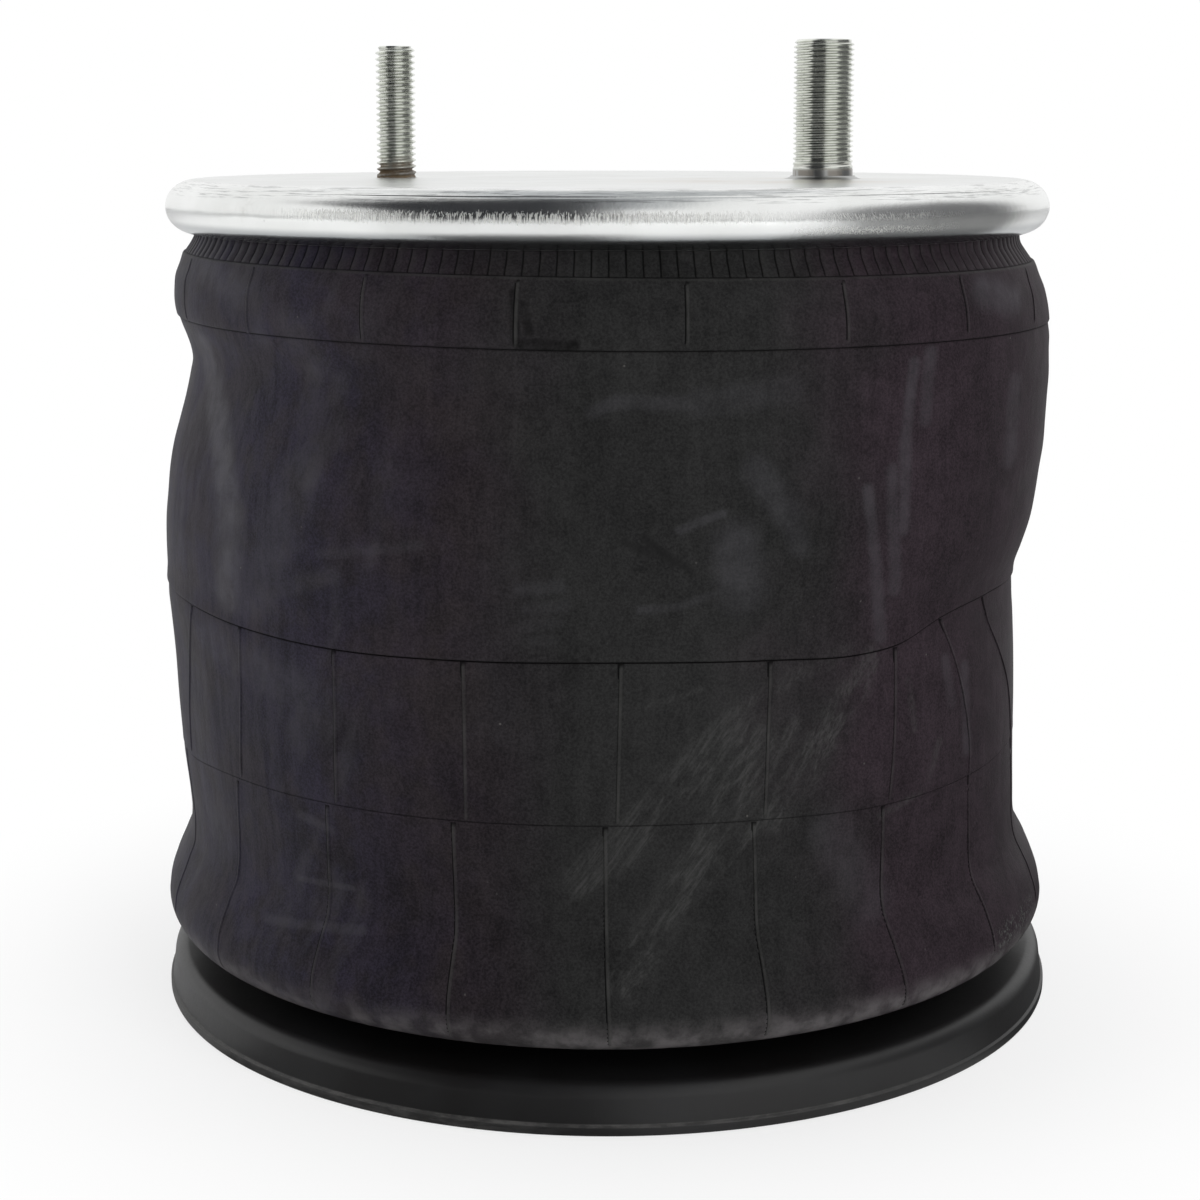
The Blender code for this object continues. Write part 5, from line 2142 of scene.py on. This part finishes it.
@dataclass
class Studio:
    """A pale floor, soft light and the camera."""

    camera_place: Triple = (-0.0023, -0.7518, 0.2754)
    pitch: float = 8.04
    focal_pixels: float = 2321.5
    image_pixels: float = 1200.0
    shift: float = -0.12
    sky: float = 1.0
    floor_size: float = 12.0
    floor_height: float = -0.0002
    white: Triple = (1.0, 1.0, 1.0)
    overhead_grey: Triple = (0.48, 0.495, 0.51)
    right_grey: Triple = (0.17, 0.17, 0.175)
    front_black: Triple = (0.026, 0.027, 0.031)
    paper: Triple = (0.96, 0.96, 0.96)
    paper_dimmed: Triple = (0.05, 0.05, 0.05)

    def backdrop(self) -> None:
        """World: white to the camera, and soft light with a dark front and right side."""
        world = bpy.data.worlds.new("studio")
        world.use_nodes = True
        bpy.context.scene.world = world
        graph = Graph(world.node_tree)
        way = graph.node("ShaderNodeTexCoord", None, None, "Generated")
        x, y, z = graph.axes(way)
        front, right = self.dark_sides(x, y)
        overhead = z.rise(0.55, 0.80) * x.maths("ABSOLUTE", x).rise(0.36, 0.14)
        shade = graph.mix(overhead, self.white, self.overhead_grey)
        shade = graph.mix(right * z.rise(0.74, 0.56), shade, self.right_grey)
        shade = graph.mix(front * z.rise(-0.06, 0.02), shade, self.front_black)
        seen = graph.node("ShaderNodeLightPath", None, None, "Is Camera Ray")
        through = graph.node("ShaderNodeLightPath", None, None, "Is Transmission Ray")
        lit = graph.node("ShaderNodeBackground", None, {"Color": shade, "Strength": self.sky})
        white = graph.node("ShaderNodeBackground", None, {"Color": self.white, "Strength": 1.0})
        shown = graph.node("ShaderNodeMixShader", None, {0: seen.either(through), 1: lit, 2: white})
        graph.node("ShaderNodeOutputWorld", None, {"Surface": shown})

    @staticmethod
    def dark_sides(x: Port, y: Port) -> tuple[Port, Port]:
        """Where the studio is dark beside its lights.

        Args:
            x: X of the direction.
            y: Y of the direction.

        Returns:
            The dark front, behind the camera, and the dark right.
        """
        front = x.rise(-0.86, -0.76) * x.rise(0.14, -0.08) * y.rise(0.30, -0.16)
        return front, x.rise(0.71, 0.90)

    def floor(self) -> bpy.types.Object:
        """A pale floor that fades into the white backdrop and is clear from below.

        Returns:
            The floor.
        """
        half = self.floor_size / 2
        bm = bmesh.new()
        corners = [(-half, -half), (half, -half), (half, half), (-half, half)]
        bm.faces.new([bm.verts.new((x, y, self.floor_height)) for x, y in corners])
        obj = link("studio_floor", new_mesh("studio_floor", bm))
        made = bpy.data.materials.new("studio_floor")
        made.use_nodes = True
        graph = Graph(made.node_tree)
        place = graph.node("ShaderNodeTexCoord", None, None, "Object")
        x, y, _ = graph.axes(place)
        distance = (x * x + y * y) ** 0.5
        front, right = self.dark_sides(x / distance, y / distance)
        shiny = graph.node("ShaderNodeLightPath", None, None, "Is Glossy Ray")
        close = distance.rise(0.32, 0.22)
        dim = (right * 0.80 + front * 0.10 + (front * 0.75 + right * 0.12) * close) * shiny
        seen = graph.node("ShaderNodeLightPath", None, None, "Is Camera Ray")
        colour = graph.mix(dim, self.paper, self.paper_dimmed)
        paper = graph.node(
            "ShaderNodeBsdfPrincipled", None, {"Base Color": colour, "Roughness": 0.8}
        )
        white = graph.node("ShaderNodeEmission", None, {"Color": self.white, "Strength": 1.0})
        away = (0.70 + 0.30 * distance.rise(0.148, 0.27)) * seen
        mixed = graph.node("ShaderNodeMixShader", None, {0: away, 1: paper, 2: white})
        below = graph.node("ShaderNodeNewGeometry", None, None, "Backfacing")
        clear = graph.node("ShaderNodeBsdfTransparent")
        mixed = graph.node("ShaderNodeMixShader", None, {0: below, 1: mixed, 2: clear})
        graph.node("ShaderNodeOutputMaterial", None, {"Surface": mixed})
        obj.data.materials.append(made)
        return obj

    def camera(self) -> bpy.types.Object:
        """The camera at the photograph's viewpoint.

        Returns:
            The camera.
        """
        data = bpy.data.cameras.new("photo_camera")
        data.sensor_width = 36.0
        data.lens = self.focal_pixels / self.image_pixels * data.sensor_width
        data.shift_y = self.shift
        data.clip_start = 0.01
        data.clip_end = 50.0
        obj = bpy.data.objects.new("photo_camera", data)
        obj.location = self.camera_place
        obj.rotation_euler = (math.radians(90.0 - self.pitch), 0.0, 0.0)
        bpy.context.scene.collection.objects.link(obj)
        bpy.context.scene.camera = obj
        return obj

    def build(self) -> None:
        """Set up the floor, the world, the lamps and the camera."""
        bpy.context.scene.view_settings.view_transform = "Standard"
        self.floor()
        self.backdrop()
        for lamp in LAMPS:
            lamp.build()
        self.camera()


def main() -> None:
    """Build each sub-assembly in order and say what was made."""
    logging.basicConfig(level=logging.INFO, format="%(name)s: %(message)s", force=True)
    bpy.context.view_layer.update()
    mounting_stud = Stud(
        "threaded_mounting_stud", "mounting_stud", *MOUNTING_STUD_AT, radius=0.00635,
        pitch=0.001954, height=0.042, finish=OLD_STUD_ZINC,
    )
    air_stud = Stud(
        "threaded_air_stud", "air_stud", *AIR_STUD_AT, radius=0.009525, pitch=0.0015875,
        height=0.0435, finish=AIR_STUD_ZINC, shank=0.0026, runout=0.0045, bore=0.00556,
        head_radius=0.016,
    )
    holes = [(*MOUNTING_STUD_AT, 0.00675), (*AIR_STUD_AT, 0.01222)]
    steps: list[tuple[str, Callable[[], object]]] = [
        ("bead plate", lambda: BeadPlate().build(holes)),
        ("mounting stud", mounting_stud.build),
        ("air stud", air_stud.build),
        ("stud collar", StudCollar(*AIR_STUD_AT).build),
        ("bellows", Bellows().build),
        ("piston", Piston().build),
        ("fastener", PistonFastener().build),
    ]
    for number, (x, y) in enumerate(Piston().insert_places(), start=1):
        steps.append((f"base insert {number}", BaseInsert(number, x, y).build))
    steps += [("inner parts", InnerParts().dress), ("studio", Studio().build)]
    for label, step in steps:
        made = step()
        LOG.info("%s: %s", label, made)


if __name__ == "__main__":
    main()
